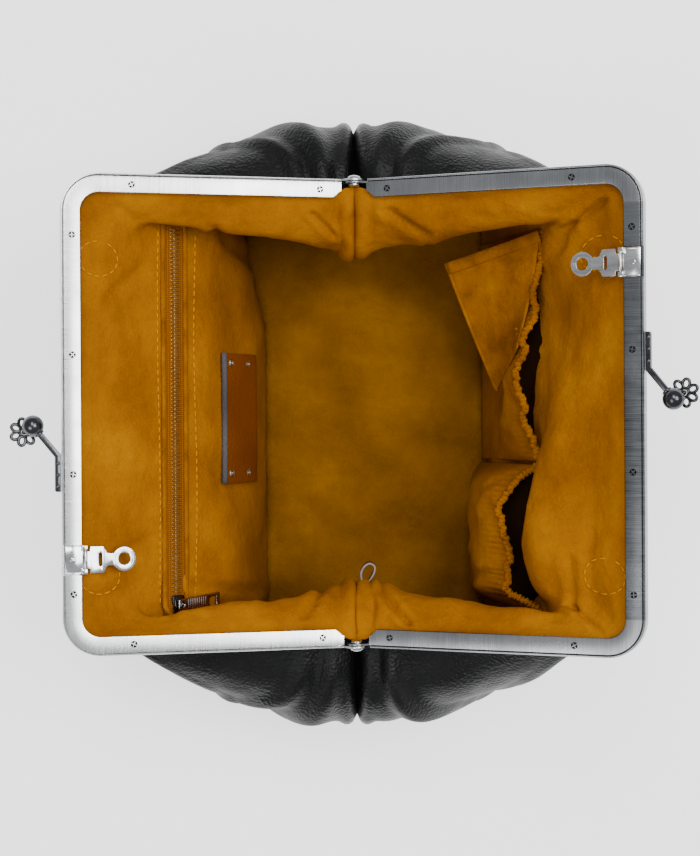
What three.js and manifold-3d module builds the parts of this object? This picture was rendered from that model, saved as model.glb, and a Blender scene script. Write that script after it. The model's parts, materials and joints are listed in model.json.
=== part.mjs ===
// Doctor bag: a hinged two-part metal frame with a kiss lock, a soft leather body and a suede lining.
// Millimetres, +Z up. X runs along the bag's length, the hinge line is parallel to X.
// The origin is at the middle of the base. The bag stands open: each frame half leans out from the hinge.
import * as THREE from 'three';
import { mergeVertices } from 'three/addons/utils/BufferGeometryUtils.js';
import Module from 'manifold-3d';

const wasm = await Module();
wasm.setup();

// ---- driving dimensions ----
const FRAME_WIDTH = 270;
const FRAME_REACH = 167.5;
const HINGE_HEIGHT = 110;
const FACE_WIDTH = 11;
const CORNER_RADIUS = 21.5;
const CHANNEL_DEPTH = 8.5;
const SHEET_METAL = 1.2;
const GAP = 0.3;
const MATING_GAP = 0.15;
const ARM_START = 8;

const EAR_RADIUS = 5.5;
const RIVET_RADIUS = 2;
const RIVET_HEAD_RADIUS = 4.6;

const SCREW_LINE = 6.3;
const BAR_SCREWS_X = [-100, -33.3, 33.3, 100];
const ARM_SCREWS_U = [20, 128];
const SCREW_HEAD_RADIUS = 1.7;
const SCREW_SHANK_RADIUS = 0.95;

const BALL_RADIUS = 6;
const BALL_X = -6.2;
const BALL_U = 183;
const BALL_N = -2.5;
const STALK_WIDTH = 3.3;
const ROSETTE_RADIUS = 8.5;
const ROSETTE_X = -9.6;
const ROSETTE_U = 187.5;

const STRAP_X = -81;
const STRAP_BRACKET_LENGTH = 16;
const RECESS_LENGTH = 17;
const RECESS_FLOOR = -3.6;
const TAB_AXIS_U = 154.6;
const TAB_AXIS_N = -1.3;
const TAB_DROOP = 8;

const LEATHER = 2;
const LINING = 1.2;
const BAR_HALF_WIDTH = 113.5;
const SPLIT_HALF_WIDTH = 148;
const BASE_HALF_WIDTH = 163;
const BASE_HALF_DEPTH = 80;

const ZIP_MIDDLE_X = -1;
const ZIP_LENGTH = 230;
const ZIP_WIDTH = 11;
const SLIDER_X = -110;

const HANDLE_X = 88.5;
const HANDLE_DROP = 100;
const RING_RADIUS = 9;
const RING_WIRE = 1.6;

// Each side of the bag: its sign along Y, the frame's lean above level, and the wall outlines as
// [distance from the hinge plane, height] from the base up to the frame bar.
const BACK = {
  name: 'back',
  side: 1,
  tilt: 13,
  leather: [[82, 4], [88, 40], [95, 68], [107, 95], [132, 119], [153.1, 138.4]],
  lining: [[55, 8], [61, 35], [72, 62], [84, 79], [103.5, 99.5], [129.5, 122.5], [152.5, 140.7]],
  leatherSplit: 0.46,
  liningSplit: 0.52,
};
const FRONT = {
  name: 'front',
  side: -1,
  tilt: 21.4,
  leather: [[84, 4], [93, 30], [103, 60], [112.5, 88], [129.5, 130], [147.3, 160.2]],
  lining: [[80, 8], [88.5, 30], [98.5, 60], [108, 90], [126, 132.5], [146.4, 162.6]],
  leatherSplit: 0.58,
  liningSplit: 0.58,
};

const METAL_BRIGHT = new THREE.MeshStandardMaterial({ color: 0xd8dcde, roughness: 0.25, metalness: 1 });
const METAL_BRUSHED = new THREE.MeshStandardMaterial({ color: 0x9ba0a6, roughness: 0.35, metalness: 1 });
const METAL_DARK = new THREE.MeshStandardMaterial({ color: 0x4a4d52, roughness: 0.25, metalness: 1 });
const BLACK_LEATHER = new THREE.MeshStandardMaterial({ color: 0x232325, roughness: 0.55, metalness: 0 });
const SUEDE = new THREE.MeshStandardMaterial({ color: 0xab6c05, roughness: 0.95, metalness: 0 });
const ZIP_FABRIC = new THREE.MeshStandardMaterial({ color: 0x8a4a10, roughness: 0.85, metalness: 0 });
const BOARD = new THREE.MeshStandardMaterial({ color: 0x6d5a44, roughness: 0.9, metalness: 0 });

const bag = new THREE.Group();

// ---- geometry helpers ----
function solidOf(geometry) {
  const bare = geometry.clone();
  bare.deleteAttribute('normal');
  bare.deleteAttribute('uv');
  const merged = mergeVertices(bare, 1e-4);
  return new wasm.Manifold(new wasm.Mesh({
    numProp: 3,
    vertProperties: new Float32Array(merged.attributes.position.array),
    triVerts: new Uint32Array(merged.index.array),
  }));
}

function geometryOf(solid) {
  const mesh = solid.getMesh();
  const geometry = new THREE.BufferGeometry();
  geometry.setAttribute('position', new THREE.BufferAttribute(new Float32Array(mesh.vertProperties), 3));
  geometry.setIndex(new THREE.BufferAttribute(new Uint32Array(mesh.triVerts), 1));
  geometry.computeVertexNormals();
  return geometry;
}

function joined(...geometries) {
  return geometryOf(geometries.map(solidOf).reduce((sum, next) => sum.add(next)));
}

function cut(geometry, ...tools) {
  return geometryOf(tools.map(solidOf).reduce((rest, tool) => rest.subtract(tool), solidOf(geometry)));
}

function addMesh(parent, name, geometry, material) {
  const mesh = new THREE.Mesh(geometry, material);
  mesh.name = name;
  parent.add(mesh);
  return mesh;
}

function extruded(shape, low, high, curveSegments = 6) {
  const options = { depth: high - low, bevelEnabled: false, curveSegments };
  const geometry = new THREE.ExtrudeGeometry(shape, options);
  geometry.translate(0, 0, low);
  return geometry;
}

function box(lowX, highX, lowY, highY, lowZ, highZ) {
  const geometry = new THREE.BoxGeometry(highX - lowX, highY - lowY, highZ - lowZ);
  geometry.translate((lowX + highX) / 2, (lowY + highY) / 2, (lowZ + highZ) / 2);
  return geometry;
}

// A cylinder along X, centred on the X axis.
function rodAlongX(radius, lowX, highX, sides = 12) {
  const geometry = new THREE.CylinderGeometry(radius, radius, highX - lowX, sides);
  geometry.rotateZ(Math.PI / 2);
  geometry.translate((lowX + highX) / 2, 0, 0);
  return geometry;
}

// A closed sheet of even thickness around the surface point(s, t), with s and t from 0 to 1.
function sheet(point, columns, rows, thickness) {
  const across = new THREE.Vector3();
  const up = new THREE.Vector3();
  const step = 1e-3;
  const positions = [];
  for (const offset of [thickness / 2, -thickness / 2]) {
    for (let row = 0; row <= rows; row += 1) {
      for (let column = 0; column <= columns; column += 1) {
        const s = column / columns;
        const t = row / rows;
        const low = Math.max(t - step, 0);
        const left = Math.max(s - step, 0);
        across.subVectors(point(Math.min(s + step, 1), t), point(left, t));
        up.subVectors(point(s, Math.min(t + step, 1)), point(s, low));
        const normal = across.cross(up).normalize();
        const place = point(s, t).addScaledVector(normal, offset);
        positions.push(place.x, place.y, place.z);
      }
    }
  }
  const layer = (columns + 1) * (rows + 1);
  const at = (column, row) => row * (columns + 1) + column;
  const indices = [];
  const quad = (a, b, c, d) => indices.push(a, b, c, a, c, d);
  for (let row = 0; row < rows; row += 1) {
    for (let column = 0; column < columns; column += 1) {
      const corners = [at(column, row), at(column + 1, row), at(column + 1, row + 1), at(column, row + 1)];
      quad(...corners);
      quad(...corners.map((index) => index + layer).reverse());
    }
  }
  const rim = [];
  for (let column = 0; column < columns; column += 1) rim.push(at(column, 0));
  for (let row = 0; row < rows; row += 1) rim.push(at(columns, row));
  for (let column = columns; column > 0; column -= 1) rim.push(at(column, rows));
  for (let row = rows; row > 0; row -= 1) rim.push(at(0, row));
  rim.forEach((index, place) => {
    const next = rim[(place + 1) % rim.length];
    quad(next, index, index + layer, next + layer);
  });
  const geometry = new THREE.BufferGeometry();
  geometry.setAttribute('position', new THREE.BufferAttribute(new Float32Array(positions), 3));
  geometry.setIndex(indices);
  const solid = solidOf(geometry);
  return geometryOf(solid);
}

// ---- the frame halves, drawn in (x, u, n): u runs from the hinge to the bar, n is square to the frame ----
function frameGroup(half) {
  const tilted = new THREE.Group();
  tilted.position.set(0, 0, HINGE_HEIGHT);
  tilted.rotation.x = THREE.MathUtils.degToRad(half.side * half.tilt);
  const turned = new THREE.Group();
  turned.rotation.z = half.side > 0 ? 0 : Math.PI;
  tilted.add(turned);
  bag.add(tilted);
  return turned;
}

// A strip that follows the frame's U outline, between two insets from its outer edge.
function frameStrip(outerInset, innerInset, armStart, lowN, highN) {
  const shape = new THREE.Shape();
  const edge = (inset, forward) => {
    const x = FRAME_WIDTH / 2 - inset;
    const top = FRAME_REACH - inset;
    const radius = Math.max(CORNER_RADIUS - inset, 1);
    if (forward) {
      shape.moveTo(-x, armStart);
      shape.lineTo(-x, top - radius);
      shape.absarc(-x + radius, top - radius, radius, Math.PI, Math.PI / 2, true);
      shape.lineTo(x - radius, top);
      shape.absarc(x - radius, top - radius, radius, Math.PI / 2, 0, true);
      shape.lineTo(x, armStart);
    } else {
      shape.lineTo(x, armStart);
      shape.lineTo(x, top - radius);
      shape.absarc(x - radius, top - radius, radius, 0, Math.PI / 2, false);
      shape.lineTo(-x + radius, top);
      shape.absarc(-x + radius, top - radius, radius, Math.PI / 2, Math.PI, false);
      shape.lineTo(-x, armStart);
    }
  };
  edge(outerInset, true);
  edge(innerInset, false);
  return extruded(shape, lowN, highN);
}

// A hinge ear: a disc round the hinge axis with a neck along the arm, drawn in (u, n) and laid along x.
function hingeEar(lowX, highX) {
  const neckLow = -EAR_RADIUS;
  const neckHigh = -SHEET_METAL - 0.6;
  const disc = rodAlongX(EAR_RADIUS, lowX, highX, 20);
  const neck = box(lowX, highX, 0, ARM_START + 2, neckLow, neckHigh);
  const bore = rodAlongX(RIVET_RADIUS + GAP, lowX - 1, highX + 1, 12);
  return cut(joined(disc, neck), bore);
}

function frameChannel(half) {
  const web = frameStrip(0, SHEET_METAL, ARM_START, -CHANNEL_DEPTH, -MATING_GAP);
  const flange = frameStrip(0, FACE_WIDTH, ARM_START, -CHANNEL_DEPTH, -CHANNEL_DEPTH + SHEET_METAL);
  const outer = FRAME_WIDTH / 2;
  const lap = half.side > 0 ? 0 : SHEET_METAL + GAP;
  const pieces = [web, flange];
  for (const end of [-1, 1]) {
    const reach = [end * (outer - lap - SHEET_METAL), end * (outer - lap)].sort((a, b) => a - b);
    pieces.push(hingeEar(...reach));
    if (lap > 0) {
      const joggle = [end * (outer - lap - SHEET_METAL), end * outer].sort((a, b) => a - b);
      pieces.push(box(...joggle, ARM_START, ARM_START + 2, -EAR_RADIUS, -SHEET_METAL - 0.6));
    }
  }
  const low = STRAP_X - RECESS_LENGTH / 2;
  const notch = box(low, low + RECESS_LENGTH, FRAME_REACH - 2, FRAME_REACH + 1, -2.1, 1);
  return cut(joined(...pieces), notch);
}

// Places along the frame where a screw goes through the face plate, as [x, u].
function screwPlaces() {
  const bar = BAR_SCREWS_X.map((x) => [x, FRAME_REACH - SCREW_LINE]);
  const arm = FRAME_WIDTH / 2 - SCREW_LINE;
  const arms = ARM_SCREWS_U.flatMap((u) => [[-arm, u], [arm, u]]);
  return [...bar, ...arms];
}

function facePlate() {
  const top = -MATING_GAP - 0.1;
  const plate = frameStrip(SHEET_METAL + GAP, FACE_WIDTH, ARM_START - 0.5, top - SHEET_METAL, top);
  const holes = screwPlaces().map(([x, u]) => {
    const hole = new THREE.CylinderGeometry(SCREW_HEAD_RADIUS + GAP, SCREW_HEAD_RADIUS + GAP, 6, 12);
    hole.rotateX(Math.PI / 2);
    hole.translate(x, u, 0);
    return hole;
  });
  const inner = FRAME_REACH - FACE_WIDTH;
  const outer = FRAME_REACH - SHEET_METAL - GAP;
  const half = RECESS_LENGTH / 2;
  const recess = box(STRAP_X - half, STRAP_X + half, inner - 1, outer + 1, -4, 1);
  const pan = box(
    STRAP_X - half - SHEET_METAL, STRAP_X + half + SHEET_METAL,
    inner + 0.2, outer, RECESS_FLOOR - SHEET_METAL, RECESS_FLOOR);
  const lips = [-1, 1].map((end) => {
    const edges = [STRAP_X + end * half, STRAP_X + end * (half + SHEET_METAL)].sort((a, b) => a - b);
    return box(...edges, inner + 0.2, outer, RECESS_FLOOR - 0.2, top);
  });
  return joined(cut(plate, recess, ...holes), pan, ...lips);
}

function screw() {
  const top = -MATING_GAP - 0.15;
  const profile = [
    [0, -6.8], [SCREW_SHANK_RADIUS, -6.8], [SCREW_SHANK_RADIUS, top - 1],
    [SCREW_HEAD_RADIUS, top - 0.4], [SCREW_HEAD_RADIUS, top], [0, top],
  ];
  const geometry = new THREE.LatheGeometry(profile.map(([r, y]) => new THREE.Vector2(r, y)), 8);
  geometry.rotateX(Math.PI / 2);
  return geometryOf(solidOf(geometry));
}

function hingeRivet(end) {
  const outer = FRAME_WIDTH / 2;
  const inner = outer - 2 * SHEET_METAL - GAP;
  const profile = [
    [0, inner - 2.2], [2.6, inner - 2.2], [3.4, inner - 1.2], [3.4, inner - GAP], [RIVET_RADIUS, inner - GAP],
    [RIVET_RADIUS, outer + GAP], [RIVET_HEAD_RADIUS, outer + GAP], [RIVET_HEAD_RADIUS - 0.6, outer + 1.3],
    [2.6, outer + 2.1], [0, outer + 2.4],
  ];
  const geometry = new THREE.LatheGeometry(profile.map(([r, y]) => new THREE.Vector2(r, y)), 14);
  geometry.rotateZ(-end * Math.PI / 2);
  return geometryOf(solidOf(geometry));
}

// ---- kiss lock ----
function kissLockStalk() {
  const base = FRAME_REACH + GAP;
  const ball = new THREE.Vector2(BALL_X, BALL_U);
  const bend = new THREE.Vector2(-23, base + STALK_WIDTH / 2);
  const along = ball.clone().sub(bend).normalize();
  const square = new THREE.Vector2(-along.y, along.x).multiplyScalar(STALK_WIDTH / 2);
  const shape = new THREE.Shape();
  shape.moveTo(-43, base);
  shape.lineTo(bend.x + 1, base);
  shape.lineTo(ball.x - square.x, ball.y - square.y);
  shape.lineTo(ball.x + square.x, ball.y + square.y);
  shape.lineTo(bend.x - 0.5, base + STALK_WIDTH);
  shape.lineTo(-42, base + STALK_WIDTH);
  shape.lineTo(-43, base + STALK_WIDTH - 1);
  shape.closePath();
  const strip = extruded(shape, -5.4, -2);
  const clearance = new THREE.SphereGeometry(BALL_RADIUS + GAP, 16, 10);
  clearance.translate(BALL_X, BALL_U, BALL_N);
  return cut(strip, clearance);
}

// The ball with a flat openwork flower of six round petals soldered to its outer side.
function kissLockBall() {
  const ball = new THREE.SphereGeometry(BALL_RADIUS, 16, 10);
  ball.rotateX(Math.PI / 2);
  ball.translate(BALL_X, BALL_U, BALL_N);
  const high = BALL_N - BALL_RADIUS + 0.4;
  const low = high - 2.4;
  const petalRadius = 3;
  const petalPlace = ROSETTE_RADIUS - petalRadius;
  const petals = [];
  const holes = [];
  for (let petal = 0; petal < 6; petal += 1) {
    const angle = (petal * Math.PI) / 3;
    const x = ROSETTE_X + petalPlace * Math.cos(angle);
    const u = ROSETTE_U + petalPlace * Math.sin(angle);
    const disc = new THREE.Shape().absarc(x, u, petalRadius, 0, 2 * Math.PI);
    const hole = new THREE.Shape().absarc(x, u, 1.4, 0, 2 * Math.PI);
    petals.push(extruded(disc, low, high, 6));
    holes.push(extruded(hole, low - 1, high + 1, 4));
  }
  const hub = extruded(new THREE.Shape().absarc(ROSETTE_X, ROSETTE_U, 3.2, 0, 2 * Math.PI), low, high, 6);
  const neck = box(BALL_X - 1.4, BALL_X + 0.6, BALL_U, BALL_U + 2, high - 0.5, high + 2);
  return joined(cut(joined(hub, ...petals), ...holes), neck, ball);
}

// ---- folding tabs for a shoulder strap ----
function strapBracket() {
  const half = STRAP_BRACKET_LENGTH / 2;
  const seat = box(-half, half, FRAME_REACH - FACE_WIDTH - 0.6, FRAME_REACH - 1.8, -3.3, -2.1);
  const pieces = [seat];
  for (const end of [-1, 1]) {
    const lug = [end * 5.2, end * half].sort((a, b) => a - b);
    pieces.push(box(...lug, TAB_AXIS_U - 1.1, TAB_AXIS_U + 1.9, -3.3, -0.3));
  }
  const pin = rodAlongX(0.5, -6, 6, 8);
  pin.translate(0, TAB_AXIS_U, TAB_AXIS_N);
  const bracket = joined(...pieces, pin);
  bracket.translate(STRAP_X, 0, 0);
  return bracket;
}

// Drawn about its own hinge axis: the tab lies along -u from the knuckle.
function strapTab() {
  const shape = new THREE.Shape();
  shape.moveTo(-4.8, 0);
  shape.lineTo(-4.8, -2.4);
  shape.lineTo(-7.5, -2.4);
  shape.lineTo(-7.5, -10.6);
  shape.lineTo(-3.5, -12.6);
  shape.lineTo(-3.5, -17);
  shape.lineTo(3.5, -17);
  shape.lineTo(3.5, -12.6);
  shape.lineTo(7.5, -10.6);
  shape.lineTo(7.5, -2.4);
  shape.lineTo(4.8, -2.4);
  shape.lineTo(4.8, 0);
  shape.closePath();
  const plate = extruded(shape, -0.45, 0.45);
  const ring = extruded(new THREE.Shape().absarc(0, -22, 6.8, 0, 2 * Math.PI), -0.45, 0.45, 8);
  const hole = extruded(new THREE.Shape().absarc(0, -22, 3.45, 0, 2 * Math.PI), -2, 2, 6);
  const knuckle = rodAlongX(1.15, -4.8, 4.8, 10);
  const bore = rodAlongX(0.85, -6, 6, 10);
  const slot = box(-3.8, 3.8, -9.2, -6.6, -2, 2);
  return cut(joined(plate, ring, knuckle), hole, bore, slot);
}

// ---- soft walls ----
function outline(points) {
  return new THREE.SplineCurve(points.map(([y, z]) => new THREE.Vector2(y, z)));
}

function wallHalfWidth(t, split) {
  if (t <= split) return BASE_HALF_WIDTH + ((SPLIT_HALF_WIDTH - BASE_HALF_WIDTH) * t) / split;
  const rest = (1 - t) / (1 - split);
  return BAR_HALF_WIDTH + (SPLIT_HALF_WIDTH - BAR_HALF_WIDTH) * rest * rest;
}

// A wall panel between two places on its outline, given as parts of the outline's run.
function wallPanel(half, points, split, from, to, thickness, narrower, rows) {
  const curve = outline(points);
  const point = (s, t) => {
    const along = from + (to - from) * t;
    const place = curve.getPoint(along);
    const width = wallHalfWidth(along, split) - narrower;
    return new THREE.Vector3((2 * s - 1) * width * half.side * -1, half.side * place.x, place.y);
  };
  return sheet(point, 4, rows, thickness);
}

function addWalls(half) {
  const seam = 0.012;
  const { leather, lining, leatherSplit, liningSplit, name } = half;
  const panels = [
    [`leather_wall_${name}`, leather, leatherSplit, 0, leatherSplit - seam, LEATHER, 2, BLACK_LEATHER, 5],
    [`leather_wall_top_${name}`, leather, leatherSplit, leatherSplit + seam, 1, LEATHER, 0, BLACK_LEATHER, 5],
    [`lining_wall_${name}`, lining, liningSplit, 0, liningSplit - seam, LINING, 14, SUEDE, 5],
    [`lining_wall_top_${name}`, lining, liningSplit, liningSplit + seam, 1, LINING, 2, SUEDE, 5],
  ];
  for (const [node, points, split, from, to, thickness, narrower, material, rows] of panels) {
    addMesh(bag, node, wallPanel(half, points, split, from, to, thickness, narrower, rows), material);
  }
}

// An end panel lofted between its middle outline and its side outline, both as [x, y reach, z] lists.
function endPanel(end, middle, side, thickness, columns, rows) {
  const middleCurve = new THREE.CatmullRomCurve3(middle.map(([x, z]) => new THREE.Vector3(x, 0, z)));
  const sideCurve = (index) => new THREE.CatmullRomCurve3(
    side.map((row) => new THREE.Vector3(row[0], row[index], row[3])));
  const backCurve = sideCurve(1);
  const frontCurve = sideCurve(2);
  const point = (s, t) => {
    const across = 2 * s - 1;
    const centre = middleCurve.getPoint(t);
    const edge = (across > 0 ? backCurve : frontCurve).getPoint(t);
    const blend = across * across;
    return new THREE.Vector3(
      end * (centre.x + (edge.x - centre.x) * blend),
      edge.y * Math.abs(across),
      centre.z + (edge.z - centre.z) * blend);
  };
  const facing = (s, t) => point(end > 0 ? s : 1 - s, t);
  return sheet(facing, columns, rows, thickness);
}

function addGussets() {
  const leatherMiddle = [[170, 4], [183, 32], [184, 62], [171, 85], [152, 95], [139, 98]];
  const leatherSide = [
    [163, 76, -78, 4], [163, 81, -86, 40], [157, 84, -94, 72], [150, 87, -98, 92], [143, 88, -101, 104],
    [139, 88, -103, 110],
  ];
  const liningMiddle = [[150, 9], [142, 32], [118, 56], [99, 74], [102, 90], [118, 99]];
  const liningSide = [
    [152, 48, -72, 9], [150, 52, -80, 38], [142, 62, -88, 66], [132, 72, -93, 84], [125, 80, -97, 96],
    [121, 84, -100, 105],
  ];
  for (const [end, name] of [[1, 'right'], [-1, 'left']]) {
    const leatherEnd = endPanel(end, leatherMiddle, leatherSide, LEATHER, 6, 7);
    addMesh(bag, `leather_gusset_${name}`, leatherEnd, BLACK_LEATHER);
    addMesh(bag, `lining_gusset_${name}`, endPanel(end, liningMiddle, liningSide, LINING, 6, 7), SUEDE);
  }
}

function addBase() {
  const half = BASE_HALF_DEPTH;
  addMesh(bag, 'leather_base', box(-168, 168, -half - 2, half - 1, 0, LEATHER), BLACK_LEATHER);
  addMesh(bag, 'base_board', box(-160, 160, -half + 3, half - 5, LEATHER + GAP, 5.2), BOARD);
  addMesh(bag, 'lining_floor', box(-147, 147, -half + 8, 50, 5.5, 6.7), SUEDE);
}

// ---- zip on the back wall ----
function zipFrame() {
  const curve = outline(BACK.lining);
  const at = 0.682;
  const place = curve.getPoint(at);
  const along = curve.getTangent(at);
  const group = new THREE.Group();
  group.position.set(0, place.x, place.y);
  group.rotation.x = Math.atan2(along.y, along.x);
  bag.add(group);
  return group;
}

// In the zip's own frame: x along the zip, y up the wall, z off the lining.
function addZip() {
  const group = zipFrame();
  const low = ZIP_MIDDLE_X - ZIP_LENGTH / 2;
  const tapeLow = LINING / 2 + GAP + 0.2;
  const tapeHigh = tapeLow + 0.8;
  const half = ZIP_WIDTH / 2;
  addMesh(group, 'zip_tape', box(low, low + ZIP_LENGTH, -half, half, tapeLow, tapeHigh), ZIP_FABRIC);
  const sliderLow = tapeHigh + GAP;
  const body = new THREE.Shape();
  body.moveTo(-5, -2.6);
  body.lineTo(3, -4.4);
  body.lineTo(5, -3);
  body.lineTo(5, 3);
  body.lineTo(3, 4.4);
  body.lineTo(-5, 2.6);
  body.closePath();
  const block = extruded(body, sliderLow, sliderLow + 1.6);
  const post = box(-0.9, 0.9, -1.1, 1.1, sliderLow + 1, sliderLow + 4.6);
  const eye = rodAlongX(0.75, -3, 3, 8);
  eye.translate(0, 0, sliderLow + 3.2);
  const slider = cut(joined(block, post), eye);
  slider.translate(SLIDER_X, 0, 0);
  addMesh(group, 'zip_slider', slider, METAL_BRUSHED);
  const pullGroup = new THREE.Group();
  pullGroup.position.set(SLIDER_X, 0, sliderLow + 3.2);
  pullGroup.rotation.x = THREE.MathUtils.degToRad(5);
  group.add(pullGroup);
  addMesh(pullGroup, 'zip_pull', zipPull(), METAL_BRUSHED);
}

// Drawn about its own pin: the pull lies along -y, with a fork round the slider's post.
function zipPull() {
  const shape = new THREE.Shape();
  shape.moveTo(-3, 1.2);
  shape.lineTo(-3.4, -4);
  shape.lineTo(-5.2, -31);
  shape.lineTo(5.2, -31);
  shape.lineTo(3.4, -4);
  shape.lineTo(3, 1.2);
  shape.closePath();
  const plate = extruded(shape, -0.7, 0.7);
  const fork = box(-1.3, 1.3, -2.6, 4, -2, 2);
  const window = new THREE.Shape();
  window.moveTo(-3, -28.5);
  window.lineTo(3, -28.5);
  window.absarc(0, -25, 2.9, 0, Math.PI, false);
  window.closePath();
  const pin = rodAlongX(0.45, -2.6, 2.6, 8);
  return joined(cut(plate, fork, extruded(window, -2, 2, 5)), pin);
}

// ---- gathered pockets on the front wall ----
function addPockets() {
  const pockets = [
    { name: 'pocket_upper', low: -26, high: 108, top: [97, 100], middle: [86, 58], bottom: [76, 10] },
    { name: 'pocket_lower', low: -116, high: -30, top: [85, 96], middle: [70, 52], bottom: [70, 10] },
  ];
  for (const { name, low, high, top, middle, bottom } of pockets) {
    const face = outline([bottom, middle, top]);
    const wall = outline(FRONT.lining);
    const point = (s, t) => {
      const across = 2 * s - 1;
      const side = across ** 4;
      const place = face.getPoint(t);
      const back = wall.getPoint(t * 0.61).x - 2.4;
      const y = place.x + (Math.max(back, place.x) - place.x) * side;
      return new THREE.Vector3(low + (high - low) * s, -y, place.y);
    };
    addMesh(bag, name, sheet(point, 10, 6, LINING), SUEDE);
  }
}

// ---- handles under the walls ----
function handleAnchor() {
  const plate = box(-8, 8, -7, 7, -1.5, 0);
  const outer = rodAlongX(4.6, -3, 3, 14);
  outer.translate(0, 0, -5.2);
  const inner = rodAlongX(2.9, -4, 4, 14);
  inner.translate(0, 0, -5.2);
  const neck = box(-3, 3, -4.6, 4.6, -5.2, -1);
  return cut(joined(plate, outer, neck), inner);
}

// Drawn about the handle's swing axis: rings at both ends and a rolled strap hanging between them.
function handleRing(end) {
  const ring = new THREE.TorusGeometry(RING_RADIUS, RING_WIRE, 8, 18);
  ring.rotateX(Math.PI / 2);
  ring.translate(end * HANDLE_X, 0, -RING_RADIUS);
  return geometryOf(solidOf(ring));
}

function handleStrap() {
  const loopHeight = -2 * RING_RADIUS;
  const top = loopHeight - 2.8;
  const half = HANDLE_X;
  const route = new THREE.CatmullRomCurve3([
    new THREE.Vector3(-half, 0, top), new THREE.Vector3(-half + 4, 0, top - 28),
    new THREE.Vector3(-half + 32, 0, -HANDLE_DROP + 8), new THREE.Vector3(0, 0, -HANDLE_DROP),
    new THREE.Vector3(half - 32, 0, -HANDLE_DROP + 8), new THREE.Vector3(half - 4, 0, top - 28),
    new THREE.Vector3(half, 0, top),
  ]);
  const section = new THREE.Shape().absellipse(0, 0, 4, 6.5, 0, 2 * Math.PI);
  const strap = new THREE.ExtrudeGeometry(section, { steps: 20, curveSegments: 4, extrudePath: route });
  const loops = [-half, half].map((x) => {
    const loop = rodAlongX(3.8, x - 2.6, x + 2.6, 12);
    loop.translate(0, 0, loopHeight);
    return loop;
  });
  const eyes = [-half, half].map((x) => {
    const eye = rodAlongX(2.3, x - 8, x + 8, 12);
    eye.translate(0, 0, loopHeight);
    return eye;
  });
  return cut(joined(strap, ...loops), ...eyes);
}

function addHandle(half) {
  const curve = outline(half.leather);
  const at = 0.8;
  const place = curve.getPoint(at);
  const along = curve.getTangent(at);
  const slope = Math.atan2(along.y, along.x);
  const mount = new THREE.Group();
  mount.position.set(0, half.side * place.x, place.y);
  mount.rotation.x = half.side * slope;
  bag.add(mount);
  const below = -LEATHER / 2 - GAP;
  for (const [end, name] of [[-1, 'left'], [1, 'right']]) {
    const anchor = addMesh(mount, `handle_anchor_${half.name}_${name}`, handleAnchor(), METAL_BRUSHED);
    anchor.position.set(end * HANDLE_X, 0, below);
  }
  const axisDrop = new THREE.Vector3(0, 0, below - 5.2).applyEuler(mount.rotation);
  const hanging = new THREE.Group();
  hanging.position.copy(mount.position).add(axisDrop);
  bag.add(hanging);
  addMesh(hanging, `handle_strap_${half.name}`, handleStrap(), BLACK_LEATHER);
  for (const [end, name] of [[-1, 'left'], [1, 'right']]) {
    addMesh(hanging, `handle_ring_${half.name}_${name}`, handleRing(end), METAL_BRUSHED);
  }
}

// ---- assembly ----
for (const half of [BACK, FRONT]) {
  const frame = frameGroup(half);
  const metal = half.side > 0 ? METAL_BRIGHT : METAL_BRUSHED;
  addMesh(frame, `frame_channel_${half.name}`, frameChannel(half), metal);
  addMesh(frame, `frame_plate_${half.name}`, facePlate(), metal);
  screwPlaces().forEach(([x, u], index) => {
    const mesh = addMesh(frame, `frame_screw_${half.name}_${index + 1}`, screw(), METAL_DARK);
    mesh.position.set(x, u, 0);
  });
  addMesh(frame, `kiss_lock_stalk_${half.name}`, kissLockStalk(), METAL_DARK);
  addMesh(frame, `kiss_lock_ball_${half.name}`, kissLockBall(), METAL_DARK);
  addMesh(frame, `strap_bracket_${half.name}`, strapBracket(), METAL_BRIGHT);
  const tab = addMesh(frame, `strap_tab_${half.name}`, strapTab(), METAL_BRIGHT);
  tab.position.set(STRAP_X, TAB_AXIS_U, TAB_AXIS_N);
  tab.rotation.x = THREE.MathUtils.degToRad(TAB_DROOP);
  addWalls(half);
  addHandle(half);
}
for (const [end, name] of [[-1, 'left'], [1, 'right']]) {
  const rivet = addMesh(bag, `hinge_rivet_${name}`, hingeRivet(end), METAL_BRUSHED);
  rivet.position.set(0, 0, HINGE_HEIGHT);
}
addGussets();
addBase();
addZip();
addPockets();

export default bag;
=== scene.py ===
"""Doctor bag standing open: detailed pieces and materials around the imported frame.

Sizes below are in millimetres and become metres in mesh_object(). X runs along the bag, +Y is the zip side.
"""
import json
import math
from contextlib import contextmanager

import bmesh
import bpy
import numpy as np
from mathutils import Matrix, Vector, noise
from mathutils.bvhtree import BVHTree


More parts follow.
